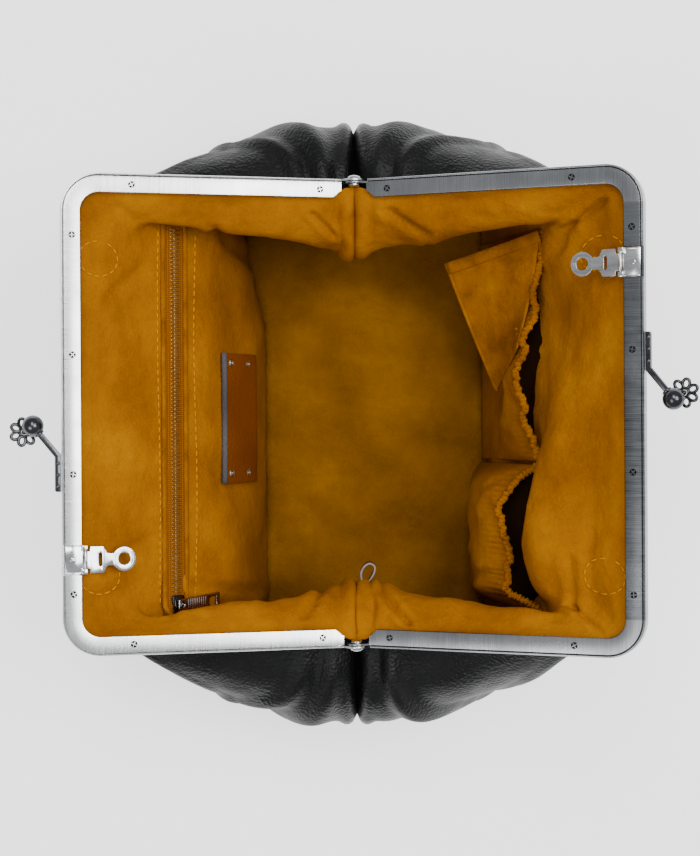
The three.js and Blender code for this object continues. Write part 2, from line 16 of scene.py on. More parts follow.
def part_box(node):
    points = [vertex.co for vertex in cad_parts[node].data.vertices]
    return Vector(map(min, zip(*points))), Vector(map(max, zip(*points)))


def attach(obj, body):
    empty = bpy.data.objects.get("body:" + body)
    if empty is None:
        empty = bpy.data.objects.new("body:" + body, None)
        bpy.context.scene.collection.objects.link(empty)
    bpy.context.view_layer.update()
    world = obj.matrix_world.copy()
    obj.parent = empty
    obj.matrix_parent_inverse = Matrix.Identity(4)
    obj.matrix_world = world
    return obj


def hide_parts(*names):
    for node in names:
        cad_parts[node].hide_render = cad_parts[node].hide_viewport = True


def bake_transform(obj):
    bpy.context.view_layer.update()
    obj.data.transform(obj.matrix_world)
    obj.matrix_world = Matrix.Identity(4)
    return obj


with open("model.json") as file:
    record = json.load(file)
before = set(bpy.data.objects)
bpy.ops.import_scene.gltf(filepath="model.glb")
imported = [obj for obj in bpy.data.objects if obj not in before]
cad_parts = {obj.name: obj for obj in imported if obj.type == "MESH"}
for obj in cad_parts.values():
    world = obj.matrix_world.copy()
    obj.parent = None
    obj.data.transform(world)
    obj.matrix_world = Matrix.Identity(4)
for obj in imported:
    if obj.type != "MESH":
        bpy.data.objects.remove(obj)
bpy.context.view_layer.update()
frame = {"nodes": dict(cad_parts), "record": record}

MM = 0.001
JOINTS = {joint["name"]: joint for joint in frame["record"]["behaviour"]["joints"]}

# ---- the frame's sizes, as in the CAD ----
HINGE_HEIGHT = JOINTS["frame_back_fold"]["pos_m"][2] / MM
FRAME_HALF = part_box("frame_channel_back")[1][0] / MM
FRAME_REACH = 167.5
FACE_WIDTH = 11.0
CORNER_RADIUS = 21.5
CORNER_STEPS = 14
CHANNEL_DEPTH = 8.5
SHEET_METAL = 1.2
ARM_START = 8.0
EAR_RADIUS = 5.5
SCREW_LINE = 6.3
SCREW_HEAD_RADIUS = 1.7
BAR_SCREWS_X = (-100.0, -33.3, 33.3, 100.0)
ARM_SCREWS_U = (20.0, 128.0)
BALL = (-6.2, 183.0, -2.5)
BALL_RADIUS = 6.0
ROSETTE = (-9.6, 187.5, -9.4)
ROSETTE_PETALS = 7
STRAP_X = -81.0
RECESS_HALF = 8.5
TAB_AXIS = (154.6, -1.3)
TAB_DROOP = 8
HANDLE_X = 88.5
HANDLE_DROP = 100.0
RING_RADIUS = 9.0
RING_WIRE = 1.6
# The slope of each wall where the handle anchors sit, in degrees.
ANCHOR_SLOPE = {"back": 42.6, "front": 64.0}
LEATHER = 2.0
LINING = 1.2

SIDES = {"back": 1, "front": -1}
END_NAMES = {"left": -1, "right": 1}
LEAN = {name: math.radians(90 - JOINTS[f"frame_{name}_fold"]["range_deg"][1]) for name in SIDES}


# ---- mesh helpers ----
BEVEL_ANGLE = 35
shift = Matrix.Translation


def spin(degrees, axis):
    return Matrix.Rotation(math.radians(degrees), 4, axis)


def facing(normal):
    """A turn that points Z along a normal."""
    return normal.to_track_quat("Z", "Y").to_matrix().to_4x4()


@contextmanager
def edited(mesh):
    """Opens a mesh for editing."""
    work = bmesh.new()
    work.from_mesh(mesh)
    yield work
    work.to_mesh(mesh)
    work.free()


def linked(name, data):
    """A new object in the scene."""
    obj = bpy.data.objects.new(name, data)
    bpy.context.scene.collection.objects.link(obj)
    return obj


def mesh_object(name, vertices, faces, material, smooth=True):
    """A mesh from millimetre vertices, with its normals made to face outward."""
    mesh = bpy.data.meshes.new(name)
    mesh.from_pydata([tuple(float(c) * MM for c in v) for v in vertices], [], faces)
    with edited(mesh) as work:
        bmesh.ops.recalc_face_normals(work, faces=work.faces)
    if smooth:
        mesh.polygons.foreach_set("use_smooth", [True] * len(mesh.polygons))
    mesh.materials.append(material)
    return linked(name, mesh)


def mesh_made_by(obj):
    """The mesh that an object's curve or modifiers make."""
    bpy.context.view_layer.update()
    graph = bpy.context.evaluated_depsgraph_get()
    return bpy.data.meshes.new_from_object(obj.evaluated_get(graph))


def with_material(mesh, material):
    mesh.materials.clear()
    mesh.materials.append(material)
    return mesh


def bevelled(obj, width, segments=2):
    """Rounds an object's edges, other than those of curved faces."""
    bevel = obj.modifiers.new("bevel", "BEVEL")
    bevel.width = width * MM
    bevel.segments = segments
    bevel.limit_method = "ANGLE"
    bevel.angle_limit = math.radians(BEVEL_ANGLE)
    bevel.harden_normals = False
    mesh = with_material(mesh_made_by(obj), obj.data.materials[0])
    obj.modifiers.clear()
    obj.data = mesh
    return obj


def joined(pieces):
    """One list of vertices and one of faces from several."""
    vertices, faces = [], []
    for points, loops in pieces:
        base = len(vertices)
        vertices.extend(points)
        faces.extend([tuple(i + base for i in loop) for loop in loops])
    return vertices, faces


def grid_faces(rows, columns, closed_columns=False, closed_rows=False):
    faces = []
    for row in range(rows if closed_rows else rows - 1):
        for column in range(columns if closed_columns else columns - 1):
            below = (row + 1) % rows
            beside = (column + 1) % columns
            faces.append((row * columns + column, row * columns + beside,
                          below * columns + beside, below * columns + column))
    return faces


def capped_faces(rows, size):
    """Faces of a tube made of rows of points, closed at both ends."""
    return [*grid_faces(rows, size, closed_columns=True), tuple(range(size)),
            tuple(range((rows - 1) * size, rows * size))[::-1]]


def sheet_parts(points, normals, thickness):
    """Vertices and faces of a closed sheet of even thickness around a grid of points."""
    rows, columns = points.shape[:2]
    top = (points + normals * thickness / 2).reshape(-1, 3)
    bottom = (points - normals * thickness / 2).reshape(-1, 3)
    count = rows * columns
    face = grid_faces(rows, columns)
    faces = face + [tuple(i + count for i in reversed(f)) for f in face]
    rim = [(0, c) for c in range(columns - 1)] + [(r, columns - 1) for r in range(rows - 1)]
    rim += [(rows - 1, c) for c in range(columns - 1, 0, -1)] + [(r, 0) for r in range(rows - 1, 0, -1)]
    flat = [r * columns + c for r, c in rim]
    for place, index in enumerate(flat):
        after = flat[(place + 1) % len(flat)]
        faces.append((after, index, index + count, after + count))
    return np.vstack([top, bottom]), faces


def grid_normals(points, periodic=False):
    if periodic:
        wide = np.concatenate([points[:, -2:-1], points, points[:, 1:2]], axis=1)
        across = (wide[:, 2:] - wide[:, :-2])
    else:
        across = np.gradient(points, axis=1)
    down = np.gradient(points, axis=0)
    normals = np.cross(across, down)
    return normals / np.maximum(np.linalg.norm(normals, axis=2, keepdims=True), 1e-9)


def catmull(rows, t):
    """A smooth run through a list of rows of numbers, t from 0 to 1."""
    rows = np.asarray(rows, float)
    place = min(max(t, 0.0), 1.0) * (len(rows) - 1)
    index = min(int(place), len(rows) - 2)
    f = place - index
    p1, p2 = rows[index], rows[index + 1]
    p0 = rows[index - 1] if index > 0 else 2 * p1 - p2
    p3 = rows[index + 2] if index + 2 < len(rows) else 2 * p2 - p1
    return 0.5 * (2 * p1 + (p2 - p0) * f + (2 * p0 - 5 * p1 + 4 * p2 - p3) * f * f
                  + (3 * p1 - p0 - 3 * p2 + p3) * f ** 3)


def sweep_parts(path, section, closed=False, up=(0, 0, 1), scale=None):
    """Vertices and faces of a section of (side, up) points carried along a path."""
    path = [Vector(p) for p in path]
    count = len(path)
    size = len(section)
    vertices = []
    for i, place in enumerate(path):
        if closed:
            ahead = path[(i + 1) % count] - path[i - 1]
        else:
            ahead = path[min(i + 1, count - 1)] - path[max(i - 1, 0)]
        ahead.normalize()
        side = ahead.cross(Vector(up)).normalized()
        top = side.cross(ahead).normalized()
        k = 1.0 if scale is None else scale[i]
        vertices.extend([place + side * (a * k) + top * (b * k) for a, b in section])
    if closed:
        return vertices, grid_faces(count, size, closed_columns=True, closed_rows=True)
    return vertices, capped_faces(count, size)


def turns(count):
    """Angles spread evenly round a circle."""
    return [2 * math.pi * i / count for i in range(count)]


def circle_section(radius, sides=10, squash=1.0):
    return [(radius * math.cos(a), radius * squash * math.sin(a)) for a in turns(sides)]


def flat_section(half_width, half_height):
    return [(-half_width, -half_height), (half_width, -half_height), (half_width, half_height),
            (-half_width, half_height)]


def lathe_parts(profile, sides, axis_matrix):
    """A turned solid: profile of (radius, height) from axis to axis, placed by axis_matrix."""
    vertices = [axis_matrix @ Vector((radius * math.cos(a), radius * math.sin(a), height))
                for radius, height in profile for a in turns(sides)]
    return vertices, capped_faces(len(profile), sides)


def flat_plate(name, outline, holes, thickness, bevel, material):
    """A plate in the XY plane with holes and rounded edges, centred on z = 0, as a mesh in millimetres."""
    curve = bpy.data.curves.new(name, "CURVE")
    curve.dimensions = "2D"
    curve.fill_mode = "BOTH"
    curve.extrude = (thickness / 2 - bevel) * MM
    curve.bevel_depth = bevel * MM
    curve.bevel_resolution = 2
    curve.offset = -bevel * MM
    for loop in [outline] + list(holes):
        spline = curve.splines.new("POLY")
        spline.points.add(len(loop) - 1)
        for point, (x, y) in zip(spline.points, loop):
            point.co = (x * MM, y * MM, 0, 1)
        spline.use_cyclic_u = True
    holder = linked(name + "_curve", curve)
    mesh = mesh_made_by(holder)
    bpy.data.objects.remove(holder)
    bpy.data.curves.remove(curve)
    with edited(mesh) as work:
        bmesh.ops.remove_doubles(work, verts=work.verts, dist=1e-6)
        bmesh.ops.recalc_face_normals(work, faces=work.faces)
    return linked(name, with_material(mesh, material))


def arc(cx, cy, radius, start, end, steps):
    """Points on an arc, with the angles in degrees."""
    angles = [math.radians(start + (end - start) * i / steps) for i in range(steps + 1)]
    return [(cx + radius * math.cos(a), cy + radius * math.sin(a)) for a in angles]


def placed(obj, matrix):
    """Moves an object's mesh by a matrix given in millimetres."""
    scaled = matrix.copy()
    scaled.translation = matrix.translation * MM
    obj.data.transform(scaled)
    return obj


def frame_matrix(half):
    """From a frame half's own (x, u, n), in millimetres, to the row frame."""
    side = SIDES[half]
    tilt = Matrix.Rotation(side * LEAN[half], 4, "X")
    turn = Matrix.Rotation(0 if side > 0 else math.pi, 4, "Z")
    return shift((0, 0, HINGE_HEIGHT)) @ tilt @ turn


def finish_piece(obj, body, slot, *replaced):
    """Ties a piece to a body's empty; a fold_back or fold_front piece, which lies between the base and that
    frame half, only has its transform baked into its mesh.
    """
    if body.startswith("fold_"):
        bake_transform(obj)
    else:
        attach(obj, body)
    if replaced:
        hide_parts(*replaced)
    return obj


def shade_by_angle(obj, degrees=32):
    """Smooth faces with sharp edges above an angle."""
    limit = math.radians(degrees)
    with edited(obj.data) as work:
        for face in work.faces:
            face.smooth = True
        for edge in work.edges:
            edge.smooth = len(edge.link_faces) != 2 or edge.calc_face_angle(0.0) < limit
    return obj


def add_piece(name, parts, material, body, slot, *replaced, at=None, sharp=None):
    """A finished piece from lists of (vertices, faces). Edges above sharp degrees stay sharp."""
    obj = mesh_object(name, *joined(parts), material)
    if sharp:
        shade_by_angle(obj, sharp)
    if at is not None:
        placed(obj, at)
    return finish_piece(obj, body, slot, *replaced)


# ---- materials ----
class Nodes:
    """A short way to write a node material."""

    def __init__(self, name):
        self.material = bpy.data.materials.new(name)
        self.material.use_nodes = True
        self.tree = self.material.node_tree
        self.shader = self.tree.nodes["Principled BSDF"]
        self.coords = self.tree.nodes.new("ShaderNodeTexCoord").outputs["Object"]

    def add(self, kind, **values):
        node = self.tree.nodes.new(kind)
        for key, value in values.items():
            if hasattr(node, key):
                setattr(node, key, value)
            else:
                node.inputs[key.replace("_", " ")].default_value = value
        return node

    def link(self, out, into):
        self.tree.links.new(out, into)

    def noise(self, scale, detail=4.0, roughness=0.5, vector=None):
        node = self.add("ShaderNodeTexNoise", Scale=scale, Detail=detail, Roughness=roughness)
        self.link(vector or self.coords, node.inputs["Vector"])
        return node.outputs["Fac"]

    def stretched(self, scale):
        node = self.add("ShaderNodeMapping")
        node.inputs["Scale"].default_value = scale
        self.link(self.coords, node.inputs["Vector"])
        return node.outputs["Vector"]

    def ramp(self, fac, stops):
        node = self.add("ShaderNodeValToRGB")
        elements = node.color_ramp.elements
        while len(elements) < len(stops):
            elements.new(0.5)
        for element, (place, colour) in zip(elements, stops):
            element.position = place
            element.color = (*colour, 1) if len(colour) == 3 else colour
        self.link(fac, node.inputs["Fac"])
        return node.outputs["Color"]

    def levels(self, fac, low, dark, high, light):
        """A ramp between two greys."""
        return self.ramp(fac, [(low, (dark,) * 3), (high, (light,) * 3)])

    def axis(self, name):
        node = self.add("ShaderNodeSeparateXYZ")
        self.link(self.coords, node.inputs["Vector"])
        return node.outputs[name]

    def math(self, operation, a, b):
        node = self.add("ShaderNodeMath", operation=operation)
        for value, socket in ((a, node.inputs[0]), (b, node.inputs[1])):
            if isinstance(value, (int, float)):
                socket.default_value = value
            else:
                self.link(value, socket)
        return node.outputs[0]

    def bump(self, height, strength, distance, normal=None):
        node = self.add("ShaderNodeBump", Strength=strength, Distance=distance)
        self.link(height, node.inputs["Height"])
        if normal is not None:
            self.link(normal, node.inputs["Normal"])
        return node.outputs["Normal"]

    def set(self, **values):
        for key, value in values.items():
            self.shader.inputs[key.replace("_", " ")].default_value = value

    def done(self, colour=None, roughness=None, normal=None):
        for value, name in ((colour, "Base Color"), (roughness, "Roughness"), (normal, "Normal")):
            if value is not None:
                self.link(value, self.shader.inputs[name])
        return self.material


def colour_mix(nodes, fac, a, b):
    """Mixes two colours, each a tuple or a socket, by a factor socket."""
    node = nodes.tree.nodes.new("ShaderNodeMix")
    node.data_type = "RGBA"
    nodes.link(fac, node.inputs[0])
    for value, index in ((a, 6), (b, 7)):
        if isinstance(value, tuple):
            node.inputs[index].default_value = (*value, 1)
        else:
            nodes.link(value, node.inputs[index])
    return node.outputs[2]


def suede_material(name, light, middle, dark, patch_scale=22.0, painted_shade_low=0.3):
    """Napped suede, with painted shade that makes it darker where it lies deep in the bag."""
    n = Nodes(name)
    colour = n.ramp(n.noise(patch_scale, 5, 0.55), [(0.34, dark), (0.5, middle), (0.68, light)])
    nap = n.noise(900, 3, 0.6)
    nap_colour = n.ramp(nap, [(0.3, tuple(c * 0.7 for c in middle)),
                              (0.7, tuple(min(c * 1.12, 1) for c in middle))])
    strokes = n.noise(160, 4, 0.6, n.stretched((1.0, 0.45, 1.0)))
    colour = colour_mix(n, n.levels(strokes, 0.35, 0.25, 0.65, 0.6), colour, nap_colour)
    # Painted shade: below about 85 mm the colour is mixed towards a darker tone, most near the floor.
    depth = n.levels(n.math("MULTIPLY", n.axis("Z"), 10.0), 0.05, painted_shade_low, 0.85, 1.0)
    colour = colour_mix(n, depth, tuple(c * 0.4 for c in dark), colour)
    height = n.math("ADD", n.math("MULTIPLY", nap, 0.5), n.noise(260, 4, 0.6))
    n.set(Roughness=0.95, Specular_IOR_Level=0.04, Sheen_Weight=0.05, Sheen_Roughness=0.4)
    n.shader.inputs["Sheen Tint"].default_value = (1.0, 0.6, 0.1, 1)
    creases = n.bump(n.noise(42, 5, 0.6), 0.55, 0.005)
    return n.done(colour, None, n.bump(height, 0.45, 0.0008, creases))


def leather_material(name, base, high, grain=420.0, rough=(0.36, 0.56), bump=0.5, shine=0.4):
    """Leather with a pebbled grain."""
    n = Nodes(name)
    cells = n.add("ShaderNodeTexVoronoi", Scale=grain, feature="SMOOTH_F1")
    cells.inputs["Smoothness"].default_value = 0.6
    n.link(n.coords, cells.inputs["Vector"])
    colour = n.ramp(n.noise(18, 4), [(0.35, base), (0.7, high)])
    roughness = n.levels(n.noise(60, 5), 0.3, rough[0], 0.7, rough[1])
    height = n.math("ADD", cells.outputs["Distance"], n.math("MULTIPLY", n.noise(40, 3), 0.6))
    height = n.math("ADD", height, n.math("MULTIPLY", n.noise(1400, 2), 0.15))
    n.set(Specular_IOR_Level=shine)
    return n.done(colour, roughness, n.bump(height, bump, 0.0009))


def metal_material(name, colour, dark, rough, streaks=0.3, grain=2200.0, smudge=0.08, arm_painted_highlight=0.0):
    """Plate brushed across its width: the streaks turn from the bar to the arms."""
    n = Nodes(name)
    on_arm = n.math("GREATER_THAN", n.math("ABSOLUTE", n.axis("X"), 0.0), (FRAME_HALF - CORNER_RADIUS) * MM)
    bar_streak = n.noise(1.0, 5, 0.65, n.stretched((grain, 40, 40)))
    arm_streak = n.noise(1.0, 5, 0.65, n.stretched((40, grain, 40)))
    streak = n.math("ADD", n.math("MULTIPLY", bar_streak, n.math("SUBTRACT", 1.0, on_arm)),
                    n.math("MULTIPLY", arm_streak, on_arm))
    cloud = n.noise(14, 6, 0.7)
    tint = n.ramp(cloud, [(0.38, dark), (0.6, colour)])
    fine = n.ramp(streak, [(0.32, tuple(c * (1 - streaks) for c in dark)), (0.66, colour)])
    mixed = colour_mix(n, n.levels(cloud, 0.3, 0.3, 0.7, 0.7), fine, tint)
    # Painted highlight: near-white patches mixed into the arms' colour, standing in for light they reflect.
    if arm_painted_highlight:
        shine = n.math("MULTIPLY", n.math("MULTIPLY", on_arm, arm_painted_highlight), n.noise(22, 3))
        mixed = colour_mix(n, shine, mixed, (0.85, 0.86, 0.87))
    n.set(Metallic=1.0, Anisotropic=0.35)
    return n.done(mixed, n.levels(cloud, 0.3, rough + smudge, 0.7, rough), n.bump(streak, 0.08, 0.0002))


def thread_material(name, colour):
    n = Nodes(name)
    twist = n.noise(2600, 2)
    out = n.ramp(twist, [(0.3, tuple(c * 0.65 for c in colour)), (0.7, colour)])
    n.set(Roughness=0.9, Specular_IOR_Level=0.02)
    return n.done(out, None, n.bump(twist, 0.4, 0.0002))


def weave_material(name, colour, dark, scale=260.0):
    """Plain woven tape."""
    n = Nodes(name)
    waves = [n.add("ShaderNodeTexWave", Scale=scale, Distortion=0.6, bands_direction=way) for way in "XY"]
    for wave in waves:
        n.link(n.coords, wave.inputs["Vector"])
    height = n.math("MULTIPLY", *(wave.outputs["Fac"] for wave in waves))
    n.set(Roughness=0.9, Specular_IOR_Level=0.05)
    return n.done(n.ramp(height, [(0.1, dark), (0.7, colour)]), None, n.bump(height, 0.5, 0.0003))


def studio_material(name, value, glow):
    """A pale floor lit from below, like a light table."""
    n = Nodes(name)
    tone = n.levels(n.noise(3, 2), 0.3, value * 0.995, 0.7, value)
    n.set(Roughness=0.9, Specular_IOR_Level=0.1, Emission_Strength=glow)
    n.shader.inputs["Emission Color"].default_value = (1, 1, 1, 1)
    return n.done(tone)


SUEDE = suede_material("suede", (0.50, 0.20, 0.002), (0.36, 0.125, 0.001), (0.22, 0.068, 0.001))
# The floor's suede is a darker copy of the wall suede: its lower colours are painted shade.
SUEDE_FLOOR_SHADED = suede_material("suede_floor_painted_shade", (0.28, 0.115, 0.003), (0.19, 0.073, 0.002), (0.11, 0.042, 0.001),
                             22.0, 1.0)
# A darker suede for turned edges and elastics; on the pocket's side panel its darker colour is painted shade.
SUEDE_EDGE_AND_SHADE = suede_material("suede_edge_and_painted_shade", (0.42, 0.16, 0.002), (0.30, 0.10, 0.001), (0.16, 0.05, 0.001),
                            60.0, 0.8)
BLACK = leather_material("black_leather", (0.0025, 0.0025, 0.0028), (0.006, 0.006, 0.0064), 560.0,
                         (0.36, 0.54), 0.5, 0.2)
BROWN = leather_material("label_leather", (0.13, 0.030, 0.001), (0.20, 0.05, 0.002), 700.0,
                         (0.6, 0.8), 0.35, 0.1)
# Near-black suede for the sheets behind the pockets: painted shadow.
POCKET_SHADOW_SUEDE = suede_material("pocket_painted_shadow", (0.020, 0.008, 0.001), (0.014, 0.005, 0.001),
                               (0.008, 0.003, 0.001))
LOOP_EDGE = leather_material("loop_edge", (0.20, 0.18, 0.17), (0.32, 0.30, 0.29), 900.0,
                             (0.7, 0.85), 0.4, 0.1)
CUT_EDGE = leather_material("label_cut_edge", (0.045, 0.04, 0.045), (0.11, 0.10, 0.105), 900.0,
                            (0.7, 0.85), 0.6, 0.1)
# Painted reflection: the two frame halves are one nickel; the back half's very bright colour stands for the
# softbox it reflects, the front half's dark colour for darker surroundings, and the front's streaks are its
# brushing.
NICKEL = metal_material("nickel_bright", (0.90, 0.91, 0.90), (0.56, 0.57, 0.56), 0.22, 0.25)
BRUSHED_PAINTED_DARK = metal_material("nickel_brushed", (0.25, 0.26, 0.27), (0.045, 0.047, 0.052), 0.24, 0.5,
                         arm_painted_highlight=0.35)
POLISHED = metal_material("nickel_polished", (0.80, 0.81, 0.80), (0.34, 0.35, 0.36), 0.12, 0.1, 300.0)
GUNMETAL = metal_material("gunmetal", (0.11, 0.112, 0.12), (0.035, 0.036, 0.04), 0.14, 0.2, 400.0)
DARK_STEEL = metal_material("steel_dark", (0.022, 0.023, 0.025), (0.01, 0.011, 0.012), 0.62, 0.2, 500.0)
# Near-black seat under the screw heads: painted shade in the cross recesses, and a dark joint round each
# head.
SEAT_STEEL_RECESS_SHADE = metal_material("steel_black_recess_shade", (0.008, 0.008, 0.009), (0.004, 0.004, 0.004), 0.6, 0.2, 500.0)
BRONZE = metal_material("zip_teeth", (0.66, 0.40, 0.12), (0.38, 0.21, 0.06), 0.34, 0.2, 500.0)
ZIP_TAPE = weave_material("zip_fabric", (0.40, 0.135, 0.006), (0.20, 0.06, 0.002))
THREAD = thread_material("thread", (0.72, 0.28, 0.002))
BLACK_THREAD = thread_material("black_thread", (0.02, 0.02, 0.022))
FRAME_METAL = {"back": (NICKEL, "nickel_bright"), "front": (BRUSHED_PAINTED_DARK, "nickel_brushed")}
BOARD = leather_material("board", (0.22, 0.16, 0.09), (0.30, 0.22, 0.13), 300.0, (0.8, 0.9), 0.2)


# ---- camera, floor and light ----
FLOOR_HALF = 6000.0
CAMERA_RISE = 995.0


def make_camera():
    data = bpy.data.cameras.new("camera")
    data.lens = 72.6
    data.sensor_width = 36
    data.sensor_fit = "AUTO"
    camera = linked("camera", data)
    camera.location = (-0.0084, 0.0032, (HINGE_HEIGHT + CAMERA_RISE) * MM)
    camera.rotation_euler = (0, 0, math.radians(-90.35))
    bpy.context.scene.camera = camera


def area_light(name, place, size, power, target=(0, 0, 0.1)):
    data = bpy.data.lights.new(name, "AREA")
    data.shape = "RECTANGLE"
    data.size, data.size_y = size
    data.energy = power
    light = linked(name, data)
    light.location = place
    light.rotation_euler = (Vector(target) - Vector(place)).to_track_quat("-Z", "Y").to_euler()


def make_studio():
    corners = [(x, y, 0) for x, y in flat_section(FLOOR_HALF, FLOOR_HALF)]
    floor = mesh_object("floor", corners, [(0, 1, 2, 3)], studio_material("studio_floor", 0.9, 1.3),
                        smooth=False)
    world = bpy.data.worlds.new("studio")
    world.use_nodes = True
    world.node_tree.nodes["Background"].inputs["Color"].default_value = (0.95, 0.97, 1.0, 1)
    world.node_tree.nodes["Background"].inputs["Strength"].default_value = 0.5
    bpy.context.scene.world = world
    area_light("key_light", (0.25, -1.1, 2.2), (1.4, 1.1), 36)
    area_light("fill_light", (-0.9, 0.9, 2.0), (1.0, 1.0), 14)
    area_light("top_light", (0.9, 0.1, 2.3), (0.7, 1.2), 20)


# ---- soft shells: leather body and suede lining ----
# Middle of the gusset, from the frame's mouth to the base: (half length, height).
HINGE_LINING = [(125.5, 105.8), (121, 104), (111, 100), (100, 91), (94, 79), (95, 66), (105, 52), (121, 38),
                (137, 24), (147, 12), (150, 7.2)]
# Walls at the same steps: (half length at the corner, depth, height, corner radius).
WALL_LINING = {
    "back": [(125.5, 154.8, 141.6, 12), (121.5, 149, 138.4, 15), (115, 140, 131.5, 16),
             (111.5, 129.5, 122.5, 14), (121, 116.5, 111, 12), (130, 103.5, 99.5, 14), (134, 90, 85.5, 20),
             (139, 77, 68, 26), (145, 65, 42, 27), (148, 59, 18, 25), (149, 57, 7.2, 22)],
    "front": [(125.5, 148.6, 163.9, 12), (121.5, 142.5, 157.5, 15), (115, 135, 147, 16),
              (111, 128, 135.5, 14), (117, 120, 119, 13), (127, 111.5, 98, 16), (133, 104, 78, 22),
              (139, 97.5, 57, 27), (144, 90, 34, 28), (148, 84, 14, 25), (149, 82, 7.2, 22)],
}
HINGE_LEATHER = [(125.5, 103.0), (128, 100.2), (137, 98.9), (149, 97.6), (162, 92), (172, 80), (177, 64),
                 (179, 46), (177, 28), (172, 12), (168, 3)]
WALL_LEATHER = {
    "back": [(125.5, 155.4, 139.0, 12), (123, 151, 134.6, 15), (126, 144, 128.8, 18), (134, 134, 120.4, 22),
             (142, 121, 108.5, 25), (149, 109, 96.5, 27), (154, 100, 80, 29), (157, 93.5, 60, 30),
             (160, 88.5, 40, 30), (162, 84.5, 18, 28), (163, 81, 3, 26)],
    "front": [(125.5, 149.4, 161.2, 12), (123, 145.5, 155, 15), (126, 139.5, 146.5, 18), (132, 133, 136, 22),
              (139, 126, 121, 25), (146, 118.5, 104, 27), (152, 112, 86, 29), (156, 105, 64, 30),
              (160, 97, 41, 30), (162, 90, 18, 28), (163, 84, 3, 26)],
}
# Soft folds that fan out below each hinge: (place along the seam's sides, height, half width).
LEATHER_RIDGES = {1: [(56, 8.0, 24), (-44, 6.5, 24), (-104, 4, 20), (112, 4, 18)],
                  -1: [(44, 7.5, 21), (-66, 8.0, 20), (-26, 3, 14), (100, 4, 20)]}
# The lining folds up between the arms' ends: how far out, and over what width.
TONGUE_REACH, TONGUE_WIDTH = 5.0, 9.5
# How much deeper the back wall stands at the +x end of the floor.
WALL_SLANT = 13.0
# Lasting creases in the lining: (start, end, depth, half width).
LINING_CREASES = [
    ((-82, -121), (-110, -122), 2.0, 2.2), ((-110, -122), (-127, -141), 2.0, 2.0),
    ((92, -117), (105, -122), 2.2, 2.6), ((105, -122), (116, -138), 1.8, 2.0),
    ((-99, 96), (-108, 62), 1.8, 2.4), ((106, 80), (88, 58), 1.8, 3.0), ((116, 24), (104, 12), 1.8, 1.8),
    ((118, -20), (104, -42), 2.2, 2.4), ((-118, 30), (-103, 18), 2.0, 2.2),
    ((-121, -30), (-106, -14), 2.4, 2.2), ((-88, 142), (-70, 118), 1.4, 2.6),
    ((66, 140), (84, 122), 1.2, 3.0)]
# How far the front lining sags over the pockets, by place along the wall, and how far it gives way below.
FRONT_OVERHANG = [(-116, 4), (-100, 16), (-75, 24), (-54, 20), (-20, 11), (0, 6), (50, -2), (105, 3),
                  (118, 0)]
FRONT_UNDERCUT = 0.6
ARM_SHARE = 0.5
CORNER_SHARE = 0.16


def shell_point(hinge, wall, side, w, end, t, spread, bulges):
    """A point of a shell: w runs from the hinge line (0) to the bar's middle (1), t from mouth to base."""
    a0, z0 = catmull(hinge, t)
    a1, depth, z1, corner = catmull(wall, t)
    bulge = bulges[end] * math.sin(math.pi * min(1.0, t))
    a0, a1 = a0 + bulge, a1 + 0.45 * bulge

    def half_length(eta):
        return a0 + (a1 - a0) * spread(eta)

    straight = 1 - corner / depth
    x_corner = half_length(straight)
    if w < ARM_SHARE:
        eta = straight * w / ARM_SHARE
        x, y = half_length(eta), depth * eta
    elif w < ARM_SHARE + CORNER_SHARE:
        turn = math.pi / 2 * (w - ARM_SHARE) / CORNER_SHARE
        x = x_corner - corner + corner * math.cos(turn)
        y = depth - corner + corner * math.sin(turn)
    else:
        x = (x_corner - corner) * (1 - (w - ARM_SHARE - CORNER_SHARE) / (1 - ARM_SHARE - CORNER_SHARE))
        y = depth
    z = z0 + (z1 - z0) * y / depth
    return end * x, side * y, z


def lining_point(point, t):
    """Adds the folds between the arms' ends and the slant of the back wall."""
    x, y, z = point
    tongue = math.exp(-(y / TONGUE_WIDTH) ** 4) * (1 - smoothstep(0.0, 0.14, t))
    x += math.copysign(TONGUE_REACH * tongue, x)
    z += 1.6 * tongue
    if y < 0:
        near = min(-y / 100, 1) ** 3
        over = smoothstep(0.22, 0.4, t) * (1 - smoothstep(0.42, 0.5, t))
        under = smoothstep(0.44, 0.52, t) * (1 - smoothstep(0.62, 0.85, t))
        under *= 1 - smoothstep(95, 112, abs(x))
        y += near * (float(np.interp(x, *zip(*FRONT_OVERHANG))) * over - FRONT_UNDERCUT * under)
    else:
        y += WALL_SLANT * smoothstep(0.5, 1.0, t) * smoothstep(45, 115, x) * min(y / 57, 1)
    return x, y, z


def shell_grid(hinge, walls, rows, columns, spread, bulges, changed=None):
    """A full ring of shell points: back half from +X to -X, then the front half back to +X."""
    steps = [(i / columns) ** 1.3 for i in range(columns + 1)]
    run = [("back", 1, w) for w in steps] + [("back", -1, 1 - w) for w in steps[1:]]
    run += [("front", -1, w) for w in steps[1:]] + [("front", 1, 1 - w) for w in steps[1:]]
    grid = np.zeros((rows, len(run), 3))
    for row in range(rows):
        t = row / (rows - 1)
        for column, (half, end, w) in enumerate(run):
            point = shell_point(hinge, walls[half], SIDES[half], w, end, t, spread, bulges)
            grid[row, column] = changed(point, t) if changed else point
    return grid


def fractal(point, scale, seed):
    return noise.noise(Vector(point) / scale + Vector((seed, seed * 0.37, -seed)))


def smoothstep(low, high, value):
    f = min(max((value - low) / (high - low), 0.0), 1.0)
    return f * f * (3 - 2 * f)


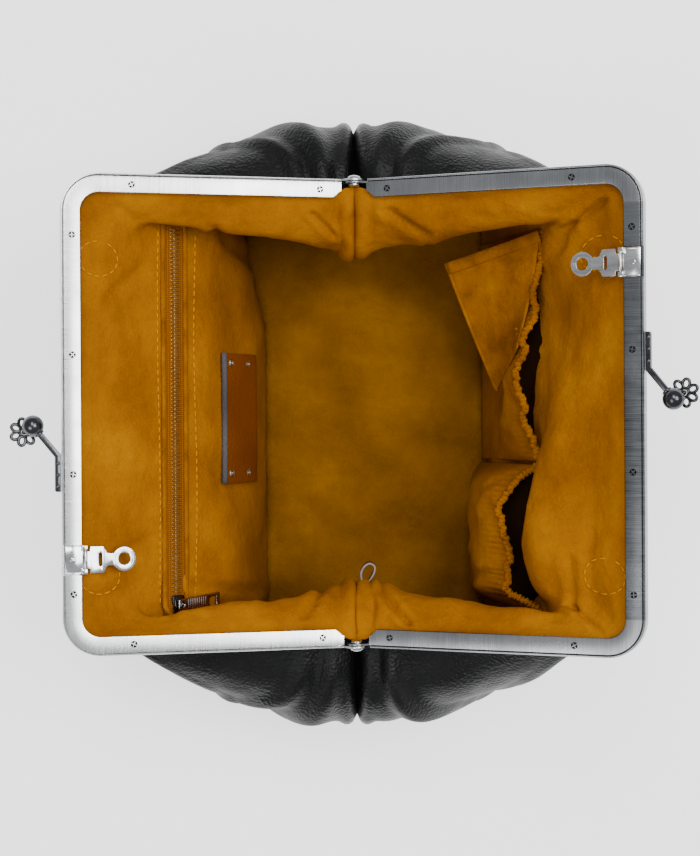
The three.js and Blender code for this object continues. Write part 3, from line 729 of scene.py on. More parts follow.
def displaced(grid, height):
    """Moves a ring grid along its normals by height(point, t), and returns the points and normals."""
    normals = grid_normals(grid, periodic=True)
    out = grid.copy()
    rows = grid.shape[0]
    for row in range(rows):
        t = row / (rows - 1)
        for column in range(grid.shape[1]):
            out[row, column] += normals[row, column] * height(grid[row, column], t)
    out[:, -1] = out[:, 0]
    return out, grid_normals(out, periodic=True)


def distance_to(p, start, end):
    """Distance in plan from p to the line from start to end."""
    along = Vector(end) - Vector(start)
    here = Vector((p[0], p[1])) - Vector(start)
    f = min(max(here.dot(along) / along.length_squared, 0), 1)
    return (here - along * f).length


def bell(value, width, power=2):
    return math.exp(-(value / width) ** power)


def lining_height(p, t):
    """How far the lining's folds stand into the bag at a point."""
    x, y, _ = p
    ends = smoothstep(0.03, 0.16, t) * (1 - smoothstep(0.93, 1.0, t))
    # The wall lies flat along the zip, and gives way where the zip's flipped pull rests.
    zip_calm, pull_rest = 1.0, 0.0
    if y > 0:
        zip_calm = 0.12 + 0.88 * smoothstep(9, 20, abs(y - ZIP_LINE_Y))
        if abs(x) > 118:
            zip_calm = max(zip_calm, smoothstep(118, 126, abs(x)))
        pull_rest = bell(x - SLIDER_X, 13, 4) * smoothstep(100, 105, y)
    zip_calm *= 1 - 0.85 * pull_rest
    soft = 3.0 * fractal(p, 42, 3) + 1.4 * fractal(p, 17, 7) + 0.45 * fractal(p, 7, 11)
    gather = 0.0
    if abs(x) > 80:
        crease = abs(y) - 9.0 - 3 * fractal(p, 18, 6)
        gather = bell(y, 17) * (3.2 * bell(y, 8.5, 4) - 2.4 * bell(y, 1.1) - 2.6 * bell(crease, 1.3)
                                + 1.2 * math.sin(y * 0.35 + 3 * fractal(p, 22, 5)))
    to_corner = math.hypot(abs(x) - 120, abs(y) - 132)
    corner = bell(to_corner, 26) * 1.6 * math.sin(
        6 * math.atan2(abs(y) - 150, abs(x) - 130) + 2 * fractal(p, 30, 8))
    lines = sum(deep * (bell(distance_to(p, a, b) - 1.6 * wide, 1.6 * wide)
                        - 1.4 * bell(distance_to(p, a, b), wide)) for a, b, deep, wide in LINING_CREASES)
    return ends * ((soft + corner) * zip_calm + gather + lines - 2.2 * pull_rest)


def leather_height(p, t):
    """How far the leather's folds stand into the bag at a point; outward folds are below zero."""
    ends = smoothstep(0.06, 0.3, t) * (1 - smoothstep(0.9, 1.0, t))
    end_zone = smoothstep(105, 140, abs(p[0]))
    fan = 0.26 + 0.74 * min(max((108 - p[2]) / 60, 0), 1)
    folds = sum(height * bell(p[1] - place * fan, width * fan)
                for place, height, width in LEATHER_RIDGES[1 if p[0] > 0 else -1])
    seam = 2.5 * bell(abs(p[1]) - 6, 4) - 5.5 * bell(p[1], 2.0)
    soft = 2.2 * fractal(p, 55, 9) + 0.6 * fractal(p, 26, 4) + 0.15 * fractal(p, 9, 14)
    return -ends * (soft + end_zone * (folds - 3.0 + seam))


def lining_spread(eta):
    return min(eta, 1.0) ** 1.1


def leather_spread(eta):
    return min(eta, 1.0) ** 1.5


def make_shell(kind, name, grid_and_normals, thickness, material, slot):
    """A shell's back and front halves, cut apart at the middle of each gusset."""
    points, normals = grid_and_normals
    middle = (points.shape[1] - 1) // 2
    made = {}
    for half, columns, end in (("back", slice(0, middle + 1), "right"),
                               ("front", slice(middle, points.shape[1]), "left")):
        parts = sheet_parts(points[:, columns], normals[:, columns], thickness)
        made[half] = add_piece(f"{name}_{half}", [parts], material, f"fold_{half}", slot,
                               f"{kind}_wall_{half}", f"{kind}_wall_top_{half}", f"{kind}_gusset_{end}")
    return made


def make_shells():
    rows, columns = ((84, 104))
    lining = displaced(shell_grid(HINGE_LINING, WALL_LINING, rows, columns, lining_spread,
                                  {1: 0.0, -1: 9.0}, lining_point), lining_height)
    leather = displaced(shell_grid(HINGE_LEATHER, WALL_LEATHER, rows, columns, leather_spread,
                                   {1: -3.0, -1: 9.0}), leather_height)
    halves = make_shell("lining", "lining", lining, LINING, SUEDE, "suede")
    make_shell("leather", "leather_body", leather, LEATHER, BLACK, "black_leather")
    return halves, lining, leather


def make_pleats(lining, leather):
    """Strips behind the two end seams, which show when the frame closes."""
    for kind, (points, _), inward, material, slot in (
            ("lining", lining, 2.6, SUEDE, "suede"), ("leather", leather, -2.2, BLACK, "black_leather")):
        middle = (points.shape[1] - 1) // 2
        for name, column, end in (("right", 0, 1), ("left", middle, -1)):
            line = points[:, column]
            rows = range(int(len(line) * 0.1), int(len(line) * 0.8))
            reach = np.linspace(-9, 9, 9)
            strip = np.array([[(line[r][0] + end * (inward + 0.02 * y * y), y, line[r][2] - 1.5)
                               for y in reach] for r in rows])
            add_piece(f"{kind}_pleat_{name}", [sheet_parts(strip, grid_normals(strip), 0.8)], material,
                      "root", slot)


class Surface:
    """Finds places on a finished mesh from above."""

    def __init__(self, *objects):
        vertices, faces = [], []
        for obj in objects:
            start = len(vertices)
            vertices.extend(v.co.copy() for v in obj.data.vertices)
            faces.extend(tuple(start + i for i in p.vertices) for p in obj.data.polygons)
        self.tree = BVHTree.FromPolygons(vertices, faces)

    def at(self, x, y, above=400.0):
        """The first place below (x, y), in millimetres, and its normal."""
        hit, normal, _, _ = self.tree.ray_cast(Vector((x, y, above)) * MM, Vector((0, 0, -1)))
        if hit is None:
            raise ValueError(f"nothing below {x}, {y}")
        if normal.z < 0:
            normal = -normal
        return hit / MM, normal


# ---- metal frame halves ----
def u_stations(arm_start, extra=()):
    """Stations along the frame's U: (kind, value), from the -x arm to the +x arm."""
    arm = [("left", u) for u in (arm_start, *extra, FRAME_REACH - CORNER_RADIUS)]
    turn = [90.0 * i / CORNER_STEPS for i in range(1, CORNER_STEPS)]
    bar_half = FRAME_HALF - CORNER_RADIUS
    low, high = STRAP_X - RECESS_HALF, STRAP_X + RECESS_HALF
    bar = [-bar_half, low - 0.02, low, high, high + 0.02, 0.0, bar_half]
    return (arm + [("left_corner", a) for a in turn] + [("bar", x) for x in bar]
            + [("right_corner", a) for a in turn] + [("right", u) for _, u in reversed(arm)])


def u_point(station, inset):
    kind, value = station
    centre_x, centre_u = FRAME_HALF - CORNER_RADIUS, FRAME_REACH - CORNER_RADIUS
    radius = CORNER_RADIUS - inset
    if kind == "left":
        return -(FRAME_HALF - inset), value
    if kind == "right":
        return FRAME_HALF - inset, value
    if kind == "bar":
        return value, FRAME_REACH - inset
    turn = math.radians(value)
    if kind == "left_corner":
        return -centre_x - radius * math.cos(turn), centre_u + radius * math.sin(turn)
    return centre_x + radius * math.sin(turn), centre_u + radius * math.cos(turn)


def in_recess(station):
    return station[0] == "bar" and STRAP_X - RECESS_HALF <= station[1] <= STRAP_X + RECESS_HALF


def frame_sweep(stations, section):
    """Sweeps section(station), a list of (inset, n), along the frame's U."""
    vertices = [(*u_point(station, inset), n) for station in stations for inset, n in section(station)]
    return vertices, capped_faces(len(stations), len(section(stations[0])))


def rim_section(station):
    floor = -2.1 if in_recess(station) else 0.0
    bottom = -CHANNEL_DEPTH
    inside = bottom + SHEET_METAL
    shape = [(0, bottom + 0.7), (0, -1.0), (0.12, -0.5), (0.4, -0.22), (0.8, -0.15), (1.15, -0.3),
             (SHEET_METAL, -0.7), (SHEET_METAL, inside), (FACE_WIDTH - 0.3, inside),
             (FACE_WIDTH, bottom + 0.9), (FACE_WIDTH, bottom + 0.3), (FACE_WIDTH - 0.3, bottom), (0.7, bottom), (0.2, bottom + 0.2)]
    return [(inset, min(n, floor)) for inset, n in shape]


def plate_section(station):
    drop = -3.35 if in_recess(station) else 0.0
    inner = FACE_WIDTH
    kind, value = station
    if kind in ("left", "right"):
        inner -= 3.6 * (1 - smoothstep(ARM_START - 0.5, ARM_START + 4.5, value))
    shape = [(1.5, -0.95), (1.58, -0.55), (1.85, -0.3), (2.2, -0.25), (inner - 0.9, -0.25),
             (inner - 0.35, -0.36), (inner, -0.8), (inner - 0.1, -1.3), (inner - 0.5, -1.45),
             (1.6, -1.45)]
    return [(inset, n + drop) for inset, n in shape]


def box_parts(low, high):
    (x0, y0, z0), (x1, y1, z1) = low, high
    vertices = [(x0, y0, z0), (x1, y0, z0), (x1, y1, z0), (x0, y1, z0),
                (x0, y0, z1), (x1, y0, z1), (x1, y1, z1), (x0, y1, z1)]
    faces = [(0, 3, 2, 1), (4, 5, 6, 7), (0, 1, 5, 4), (1, 2, 6, 5), (2, 3, 7, 6), (3, 0, 4, 7)]
    return vertices, faces


def combine(objects, name):
    """Joins finished meshes into one new object."""
    mesh = bpy.data.meshes.new(name)
    with edited(mesh) as work:
        for obj in objects:
            work.from_mesh(obj.data)
    mesh.materials.append(objects[0].data.materials[0])
    for obj in objects:
        bpy.data.objects.remove(obj)
    return linked(name, mesh)


def hinge_ears(half, material):
    """The two rounded ears that lap at the hinge: the front half's lie inside the back half's."""
    lap = 0 if half == "back" else SHEET_METAL + 0.3
    outline = arc(0, 0, EAR_RADIUS, -90, -338, 28) + [(ARM_START + 1, -1.8), (ARM_START + 1, -EAR_RADIUS)]
    to_frame = Matrix(((0, 0, 1, 0), (1, 0, 0, 0), (0, 1, 0, 0), (0, 0, 0, 1)))
    ears = []
    for end in (-1, 1):
        ear = flat_plate(f"ear_{half}_{end}", outline, [], SHEET_METAL, 0.25, material)
        middle = end * (FRAME_HALF - lap - SHEET_METAL / 2)
        ears.append(placed(ear, shift((middle, 0, 0)) @ to_frame))
        if lap:
            inner, outer = sorted((end * (FRAME_HALF - lap - SHEET_METAL), end * FRAME_HALF))
            parts = box_parts((inner, ARM_START - 0.2, -EAR_RADIUS), (outer, ARM_START + 1.6, -1.8))
            ears.append(mesh_object(f"joggle_{half}_{end}", *parts, material, smooth=False))
    return ears


def make_frame_half(half):
    material, slot = FRAME_METAL[half]
    rim = mesh_object(f"rim_{half}", *frame_sweep(u_stations(ARM_START), rim_section), material)
    rim = combine([rim, *hinge_ears(half, material)], f"frame_channel_{half}_metal")
    shade_by_angle(rim)
    finish_piece(placed(rim, frame_matrix(half)), f"frame_{half}", slot, f"frame_channel_{half}")
    near_hinge = [ARM_START + step for step in (0.6, 1.4, 2.4, 4.5)]
    plate = frame_sweep(u_stations(ARM_START - 0.5, near_hinge), plate_section)
    add_piece(f"frame_plate_{half}_metal", [plate], material, f"frame_{half}", slot, f"frame_plate_{half}",
              at=frame_matrix(half), sharp=32)


def screw_places():
    arm = FRAME_HALF - SCREW_LINE
    bar = [(x, FRAME_REACH - SCREW_LINE) for x in BAR_SCREWS_X]
    return bar + [(end * arm, u) for u in ARM_SCREWS_U for end in (-1, 1)]


def screw_parts(x, u, turn):
    """A flat screw head with a cross recess: four quarters above a near-black seat, whose colour paints shade
    into the recess and is a dark joint round the head.
    """
    top, low, gap = -0.1, -0.42, 0.364
    radius = SCREW_HEAD_RADIUS
    parts = [lathe_parts([(0.01, -0.9), (radius + 0.2, -0.9), (radius + 0.2, -0.21), (radius - 0.02, -0.24),
                          (radius - 0.1, low), (0.01, low)], 20, shift((x, u, 0)))]
    for quarter in range(4):
        base = turn + quarter * math.pi / 2
        angles = [base + math.radians(10 + 70 * i / 5) for i in range(6)]
        corner = (gap * math.cos(base + math.pi / 4), gap * math.sin(base + math.pi / 4))
        loop = [corner, *((radius * math.cos(a), radius * math.sin(a)) for a in angles)]
        inner = [(a * 0.93 + corner[0] * 0.07, b * 0.93 + corner[1] * 0.07) for a, b in loop]
        vertices = [(x + a, u + b, z) for points, z in ((loop, low - 0.1), (loop, top - 0.06), (inner, top))
                    for a, b in points]
        parts.append((vertices, capped_faces(3, len(loop))))
    return parts


def make_screws(half):
    screws = [screw_parts(x, u, 0.5 + 0.9 * i) for i, (x, u) in enumerate(screw_places())]
    nodes = [f"frame_screw_{half}_{i + 1}" for i in range(len(screws))]
    for kind, parts, material, replaced in (
            ("seats", [screw[0] for screw in screws], SEAT_STEEL_RECESS_SHADE, nodes),
            ("heads", [quarter for screw in screws for quarter in screw[1:]], DARK_STEEL, ())):
        obj = mesh_object(f"frame_screw_{kind}_{half}", *joined(parts), material, smooth=False)
        finish_piece(placed(obj, frame_matrix(half)), f"frame_{half}", "steel_dark", *replaced)


def make_rivets():
    outer = FRAME_HALF
    inner = outer - 2 * SHEET_METAL - 0.3
    dome = [(x, outer + 0.45 + y / 2.3) for x, y in arc(0, 0, 4.6, 0, 84, 7)]
    profile = [(0.01, inner - 2.2), (1.8, inner - 2.1), (2.9, inner - 1.6), (3.4, inner - 0.9),
               (3.4, inner - 0.3), (2, inner - 0.3), (2, outer + 0.25), (4.4, outer + 0.25), *dome,
               (0.01, outer + 2.45)]
    for name, end in END_NAMES.items():
        to_row = shift((0, 0, HINGE_HEIGHT)) @ spin(end * 90, "Y")
        add_piece(f"hinge_rivet_{name}_metal", [lathe_parts(profile, 36, to_row)], POLISHED, "root",
                  "nickel_bright", f"hinge_rivet_{name}", sharp=32)


# ---- kiss lock ----
def globe(radius, steps):
    """The profile of a ball, for lathe_parts."""
    return [(max(x, 0.01), y) for x, y in arc(0, 0, radius, -90, 90, steps)]


def make_kiss_lock(half):
    to_row = frame_matrix(half)
    body = f"frame_{half}"
    x0, u0, _ = BALL
    base = FRAME_REACH + 0.3
    bend = Vector((-23, base + 1.65))
    along = (Vector((x0, u0)) - bend).normalized()
    square = Vector((-along.y, along.x)) * 1.65
    tip = Vector((x0, u0)) - along * (BALL_RADIUS - 0.6)
    outline = [(-43, base), (bend.x + 0.9, base), *(tuple(p) for p in (tip - square, tip + square)),
               (bend.x - 0.6, base + 3.3), (-42.2, base + 3.3), (-43, base + 2.6)]
    stalk = flat_plate(f"kiss_stalk_{half}", outline, [], 3.4, 0.5, GUNMETAL)
    placed(stalk, shift((0, 0, -3.7)))
    studs = [lathe_parts([(0.01, -2.1), (1.2, -2.1), (1.15, -1.7), (0.75, -1.4), (0.01, -1.3)], 16,
                         shift((x, base + 1.65, 0))) for x in (-40, -33.5, -27)]
    rivets = mesh_object(f"kiss_studs_{half}", *joined(studs), GUNMETAL)
    stalk = combine([stalk, rivets], f"kiss_lock_stalk_{half}_metal")
    shade_by_angle(stalk)
    finish_piece(placed(stalk, to_row), body, "gunmetal", f"kiss_lock_stalk_{half}")
    ball = lathe_parts(globe(BALL_RADIUS, 30), 48, shift(BALL))
    collar = lathe_parts([(0.01, 4.6), (2.6, 4.6), (2.9, 5.1), (2.9, 5.9), (2.5, 6.3), (0.01, 6.3)], 24,
                         shift(BALL) @ facing(Vector((-along.x, -along.y, 0))))
    add_piece(f"kiss_lock_ball_{half}_metal", [ball, collar], GUNMETAL, body, "gunmetal",
              f"kiss_lock_ball_{half}", at=to_row, sharp=40)
    add_piece(f"kiss_lock_rosette_{half}", rosette_parts(), GUNMETAL, body, "gunmetal", at=to_row)


def rosette_parts():
    """An openwork flower of wire loops round a centre ring and bead."""
    cx, cu, cn = ROSETTE
    parts = []
    for petal in range(ROSETTE_PETALS):
        turn = 2 * math.pi * petal / ROSETTE_PETALS + 0.2
        lift = 0.8 if petal % 2 else -0.5
        loop = []
        for a in turns(18):
            out, side = 5.1 + 2.6 * math.cos(a), 1.95 * math.sin(a)
            loop.append((cx + out * math.cos(turn) - side * math.sin(turn),
                         cu + out * math.sin(turn) + side * math.cos(turn), cn + lift + 0.16 * (out - 5.1)))
        parts.append(sweep_parts(loop, circle_section(0.95, 8), closed=True))
    ring = [(cx + 2.3 * math.cos(a), cu + 2.3 * math.sin(a), cn + 0.5) for a in turns(16)]
    parts.append(sweep_parts(ring, circle_section(0.7, 8), closed=True))
    parts.append(lathe_parts(globe(1.5, 12), 16, shift((cx, cu, cn + 0.6))))
    return parts


# ---- shoulder strap tabs ----
def make_strap_tab(half):
    u_axis, n_axis = TAB_AXIS
    inner = FRAME_REACH - FACE_WIDTH
    parts = []
    for end in (-1, 1):
        low, middle, high = sorted((end * 5.2, end * 7.1, end * 8))
        cheek = (middle, high) if end > 0 else (low, middle)
        parts.append(box_parts((low, u_axis - 1.1, -3.3), (high, u_axis + 1.9, -0.32)))
        parts.append(box_parts((cheek[0], u_axis + 1.9, -3.3), (cheek[1], FRAME_REACH - 2.2, -1.9)))
    dot = lathe_parts([(0.01, -2.3), (1.5, -2.3), (1.45, -1.95), (0.9, -1.83), (0.01, -1.8)], 20,
                      shift((0, inner + 5.2, 0)))
    pin = lathe_parts([(0.01, -6), (0.5, -6), (0.5, 6), (0.01, 6)], 14,
                      shift((0, u_axis, n_axis)) @ spin(90, "Y"))
    bracket = [mesh_object(f"bracket_{half}", *some, POLISHED) for some in (
        box_parts((-8, inner - 0.6, -3.3), (8, FRAME_REACH - 1.8, -2.15)), joined(parts), dot, pin)]
    bracket = bevelled(combine(bracket, f"strap_bracket_{half}_metal"), 0.28)
    shade_by_angle(bracket)
    finish_piece(placed(bracket, frame_matrix(half) @ shift((STRAP_X, 0, 0))), f"frame_{half}",
                 "nickel_bright", f"strap_bracket_{half}")
    outline = [(-4.8, -0.6), (-4.8, -2.4), (-7.5, -2.6), (-7.5, -9.6), *arc(-6.6, -9.6, 0.9, 180, 245, 3),
               (-3.9, -12.0), (-3.5, -13.0), (-3.5, -15.6), *arc(0, -22, 6.8, 117, 423, 40),
               (3.5, -15.6), (3.5, -13.0), (3.9, -12.0), *arc(6.6, -9.6, 0.9, 295, 360, 3), (7.5, -2.6),
               (4.8, -2.4), (4.8, -0.6)]
    hole = arc(0, -22, 3.45, 0, 345, 23)
    slot = [*arc(-2.9, -8.4, 0.9, 90, 270, 6), *arc(2.9, -8.4, 0.9, -90, 90, 6)]
    plate = flat_plate(f"tab_plate_{half}", outline, [hole, slot], 0.95, 0.22, POLISHED)
    knuckle = lathe_parts([(0.85, -4.8), (1.05, -4.8), (1.17, -4.6), (1.17, 4.6), (1.05, 4.8), (0.85, 4.8)],
                          20, spin(90, "Y"))
    crest = sweep_parts([(5.2 * math.cos(a), -22 + 5.2 * math.sin(a), 0.5) for a in turns(27)],
                        circle_section(0.32, 6), closed=True)
    tab = combine([plate, *(mesh_object(f"tab_{half}", *some, POLISHED) for some in (knuckle, crest))],
                  f"strap_tab_{half}_metal")
    shade_by_angle(tab)
    at = shift((STRAP_X, u_axis, n_axis)) @ spin(TAB_DROOP, "X")
    finish_piece(placed(tab, frame_matrix(half) @ at), f"strap_tab_{half}", "nickel_bright",
                 f"strap_tab_{half}")


# ---- stitches ----
def capsule_parts(start, end, radius, up):
    """A stitch: a rod with tapered ends that dips into the fabric."""
    start, end, up = Vector(start), Vector(end), Vector(up)
    steps = [(0.0, 0.35, -0.5), (0.14, 0.85, 0.1), (0.5, 1.0, 0.32), (0.86, 0.85, 0.1), (1.0, 0.35, -0.5)]
    path = [start.lerp(end, f) + up * (radius * lift) for f, _, lift in steps]
    return sweep_parts(path, circle_section(radius, 6), up=up, scale=[k for _, k, _ in steps])


def stitch_path(surface, plan, pitch, length, radius):
    """Stitches along a plan path of (x, y) points, laid on a surface seen from above."""
    points = [Vector((x, y)) for x, y in plan]
    lengths = [0.0]
    for a, b in zip(points, points[1:]):
        lengths.append(lengths[-1] + (b - a).length)

    def along(distance):
        index = max(i for i, done in enumerate(lengths) if done <= distance + 1e-9)
        index = min(index, len(points) - 2)
        span = lengths[index + 1] - lengths[index]
        return points[index].lerp(points[index + 1], (distance - lengths[index]) / span)

    parts = []
    count = int(lengths[-1] / pitch)
    for i in range(count):
        first = along(i * pitch)
        last = along(min(i * pitch + length, lengths[-1]))
        a, normal = surface.at(first.x, first.y)
        b, _ = surface.at(last.x, last.y)
        parts.append(capsule_parts(a + normal * radius * 0.45, b + normal * radius * 0.45, radius, normal))
    return parts


# ---- zip ----
ZIP_SLOPE = math.radians(43.1)
ZIP_LINE_Y = 105.5
ZIP_PIN_HEIGHT = 5.4
ZIP_LOW, ZIP_HIGH = -116.0, 114.0
SLIDER_X = -110.0
TEETH_PITCH = 2.3


def zip_matrix():
    """From the zip's own frame (along the zip, up the wall, off the wall) to the row frame."""
    pin = [c / MM for c in JOINTS["zip_pull_flip"]["pos_m"]]
    normal = Vector((0, -math.sin(ZIP_SLOPE), math.cos(ZIP_SLOPE)))
    origin = Vector((0, pin[1], pin[2])) - normal * ZIP_PIN_HEIGHT
    return shift(origin) @ Matrix.Rotation(ZIP_SLOPE, 4, "X")


def make_zip(surface):
    to_row = zip_matrix()
    strip = np.array([[(x, y, 1.5 - 0.012 * y * y + 0.12 * fractal((x, y, 0), 12, 1))
                       for x in np.linspace(ZIP_LOW, ZIP_HIGH, 60)] for y in np.linspace(8.2, -8.2, 9)])
    add_piece("zip_tape_weave", [sheet_parts(strip, grid_normals(strip), 0.6)], ZIP_TAPE, "frame_back",
              "zip_fabric", "zip_tape", at=to_row)
    parts = []
    for i in range(int((ZIP_HIGH - ZIP_LOW - 8) / TEETH_PITCH)):
        x = ZIP_LOW + 4 + i * TEETH_PITCH
        parts.append(box_parts((x - 0.62, -3.1, 1.2), (x + 0.62, 0.9, 2.35)))
        x += TEETH_PITCH / 2
        parts.append(box_parts((x - 0.62, -0.9, 1.2), (x + 0.62, 3.1, 2.35)))
    teeth = bevelled(mesh_object("zip_teeth", *joined(parts), BRONZE, smooth=False), 0.22, 1)
    finish_piece(placed(teeth, to_row), "frame_back", "gunmetal")
    make_zip_lips(to_row)
    parts = []
    for y, wave, run in ((113.6, 0.5, 31), (94.2, 0.6, 27)):
        plan = [(x, y + wave * math.sin(x / run)) for x in np.linspace(ZIP_LOW + 7, ZIP_HIGH - 6, 60)]
        parts += stitch_path(surface, plan, 4.7, 3.4, 0.5)
    add_piece("zip_stitches", parts, THREAD, "frame_back", "suede")
    make_zip_slider(to_row)


def make_zip_lips(to_row):
    """The turned suede edges on both sides of the zip."""
    parts = []
    for side in (-1, 1):
        path = []
        for x in np.linspace(ZIP_LOW - 3, ZIP_HIGH + 3, 90):
            close = 1 - smoothstep(ZIP_LOW - 3, ZIP_LOW + 5, x) + smoothstep(ZIP_HIGH - 5, ZIP_HIGH + 3, x)
            y = side * (8.0 - 6.0 * close) + 0.35 * fractal((x, side, 0), 14, 6)
            path.append(Vector((x, y, 1.25 + 0.2 * fractal((x, side * 3, 0), 9, 2))))
        parts.append(sweep_parts(path, circle_section(1.5, 10, 0.75)))
    add_piece("zip_lips", parts, SUEDE_EDGE_AND_SHADE, "frame_back", "suede", at=to_row)


def make_zip_slider(to_row):
    base = 2.5
    outline = [*arc(-3.6, 0, 2.7, 105, 255, 10), (2.6, -4.2), *arc(4.0, -3.1, 1.2, 270, 360, 4),
               *arc(4.0, 3.1, 1.2, 0, 90, 4), (2.6, 4.2)]
    upper = placed(flat_plate("slider_top", outline, [], 1.3, 0.35, GUNMETAL), shift((0, 0, base + 0.7)))
    arch = [(-2.6 + 5.2 * f, 0, base + 1.1 + 3.6 * math.sin(math.pi * f)) for f in np.linspace(0, 1, 12)]
    arch = mesh_object("slider_arch", *sweep_parts(arch, circle_section(0.8, 8, 0.6), up=(0, 1, 0)), GUNMETAL)
    slider = combine([upper, arch], "zip_slider_metal")
    shade_by_angle(slider)
    finish_piece(placed(slider, to_row @ shift((SLIDER_X, 0, 0))), "zip_slider", "gunmetal", "zip_slider")
    outline = [(-2.6, 1.3), *arc(-2.2, 0.9, 0.6, 90, 180, 3), (-3.4, -4), (-5.2, -29.6),
               *arc(-4, -29.8, 1.2, 180, 270, 4), *arc(4, -29.8, 1.2, 270, 360, 4), (5.2, -29.6), (3.4, -4),
               *arc(2.2, 0.9, 0.6, 0, 90, 3)]
    window = [(-3.1, -28.3), (3.1, -28.3), *arc(0, -25.4, 2.9, 0, 180, 14)]
    eye = arc(0, -1.4, 1.5, 0, 345, 23)
    plate = flat_plate("pull_plate", outline, [window, eye], 1.3, 0.3, POLISHED)
    ribs = [box_parts((-2.8 - 0.09 * i, -6.4 - 1.7 * i, -0.9), (2.8 + 0.09 * i, -5.6 - 1.7 * i, 0.9))
            for i in range(9)]
    ribs = bevelled(mesh_object("pull_ribs", *joined(ribs), POLISHED, smooth=False), 0.2, 1)
    pull = combine([plate, ribs], "zip_pull_metal")
    shade_by_angle(pull)
    at = shift((SLIDER_X, 0, ZIP_PIN_HEIGHT)) @ spin(5, "X")
    finish_piece(placed(pull, to_row @ at), "zip_pull", "gunmetal", "zip_pull")


# ---- things sewn on the lining ----
def make_reinforcements(surfaces):
    """Stitched circles behind the handle anchors."""
    for half, y in (("back", 144.2), ("front", -137.0)):
        parts = []
        for x in (-HANDLE_X - 2.5, HANDLE_X - 1.0):
            circle = [(x + 10 * math.cos(a), y + 10 * math.sin(a)) for a in np.linspace(0, 2 * math.pi, 40)]
            parts.extend(stitch_path(surfaces[half], circle, 4.2, 3.1, 0.52))
        add_piece(f"anchor_stitches_{half}", parts, THREAD, f"frame_{half}", "suede")


def make_label(surface):
    """A plain leather patch on the back wall, with a raw cut edge and four studs."""
    low_x, high_x, low_y, high_y = -41.0, 37.0, 63.5, 80.0
    probes = np.linspace(low_x, high_x, 9)
    ys = np.linspace(high_y, low_y, 12)
    heights = [np.mean([surface.at(x, y)[0].z for x in probes]) for y in ys]
    fit = np.polyfit(ys, heights, 2)
    grid = np.array([[(x, y, float(np.polyval(fit, y))) for x in np.linspace(low_x, high_x, 40)] for y in ys])
    normals = grid_normals(grid)
    if normals[0, 0, 2] < 0:
        normals = -normals
    bow = np.array([0.4 * math.sin(math.pi * i / 39) for i in range(40)])[None, :, None]
    lifted = grid + normals * (2.2 + bow)
    obj = mesh_object("label_patch", *sheet_parts(lifted, normals, 1.8), BROWN)
    bevelled(obj, 0.35)
    shade_by_angle(obj)
    finish_piece(obj, "fold_back", "suede")
    edge = sweep_parts(lifted[0] + normals[0] * 0.1, circle_section(1.75, 10, 0.8))
    add_piece("label_cut_edge", [edge], CUT_EDGE, "fold_back", "suede")
    parts = []
    for x in (-34.5, 30.0):
        for row in (2, 8):
            column = int(round((x - low_x) / (high_x - low_x) * 39))
            normal = Vector(normals[row, column])
            at = shift(Vector(lifted[row, column]) + normal * 0.85) @ facing(normal)
            parts.append(lathe_parts([(0.01, 0), (2.3, 0), (2.25, 0.5), (1.7, 0.8), (1.2, 0.55), (0.01, 0.6)],
                                     20, at))
            for side in (-1, 1):
                parts.append(lathe_parts([(0.01, 0), (0.55, 0), (0.5, 0.4), (0.01, 0.55)], 10,
                                         at @ shift((0, side * 0.9, 0.5))))
    add_piece("label_studs", parts, NICKEL, "fold_back", "steel_dark", sharp=32)


def make_key_loop():
    """A thin strip folded into a loop that stands on the lining near one hinge."""
    outline = [(-104, -4.5), (-99, -3.2), (-94, -3.0), (-90.5, -5.0), (-89.0, -8.2), (-91, -11.0),
               (-95, -10.4), (-99.5, -7.6), (-104, -5.6)]
    path = [Vector((*catmull(outline, f), 76.0 - 3 * f)) for f in np.linspace(0, 1, 40)]
    across = 5.6
    strap = mesh_object("key_loop", *sweep_parts(path, flat_section(0.45, across)), BROWN)
    finish_piece(bevelled(strap, 0.12, 1), "root", "suede")
    rail = [p + Vector((0, 0, across)) for p in path]
    add_piece("key_loop_edge", [sweep_parts(rail, circle_section(0.62, 8))], LOOP_EDGE, "root", "suede")


# ---- gathered pockets ----
POCKETS = {
    "pocket_upper": {
        "top": [(-28, 103), (-10, 99), (8, 98), (24, 95.5), (40, 97), (60, 103), (88, 107), (107, 109.5)],
        "middle": 89.5, "bottom": 81, "height": 101,
    },
    "pocket_lower": {
        "top": [(-116, 107), (-109, 97), (-104, 89.5), (-98, 87.5), (-88, 89), (-76, 87), (-65, 84),
                (-50, 84.5), (-40, 92), (-31, 103)],
        "middle": 71, "bottom": 73, "height": 97,
    },
}
POCKET_BASE = 9.5


def wall_depth(z):
    rows = sorted((row[2], row[1]) for row in WALL_LINING["front"])
    return float(np.interp(z, [r[0] for r in rows], [r[1] for r in rows]))


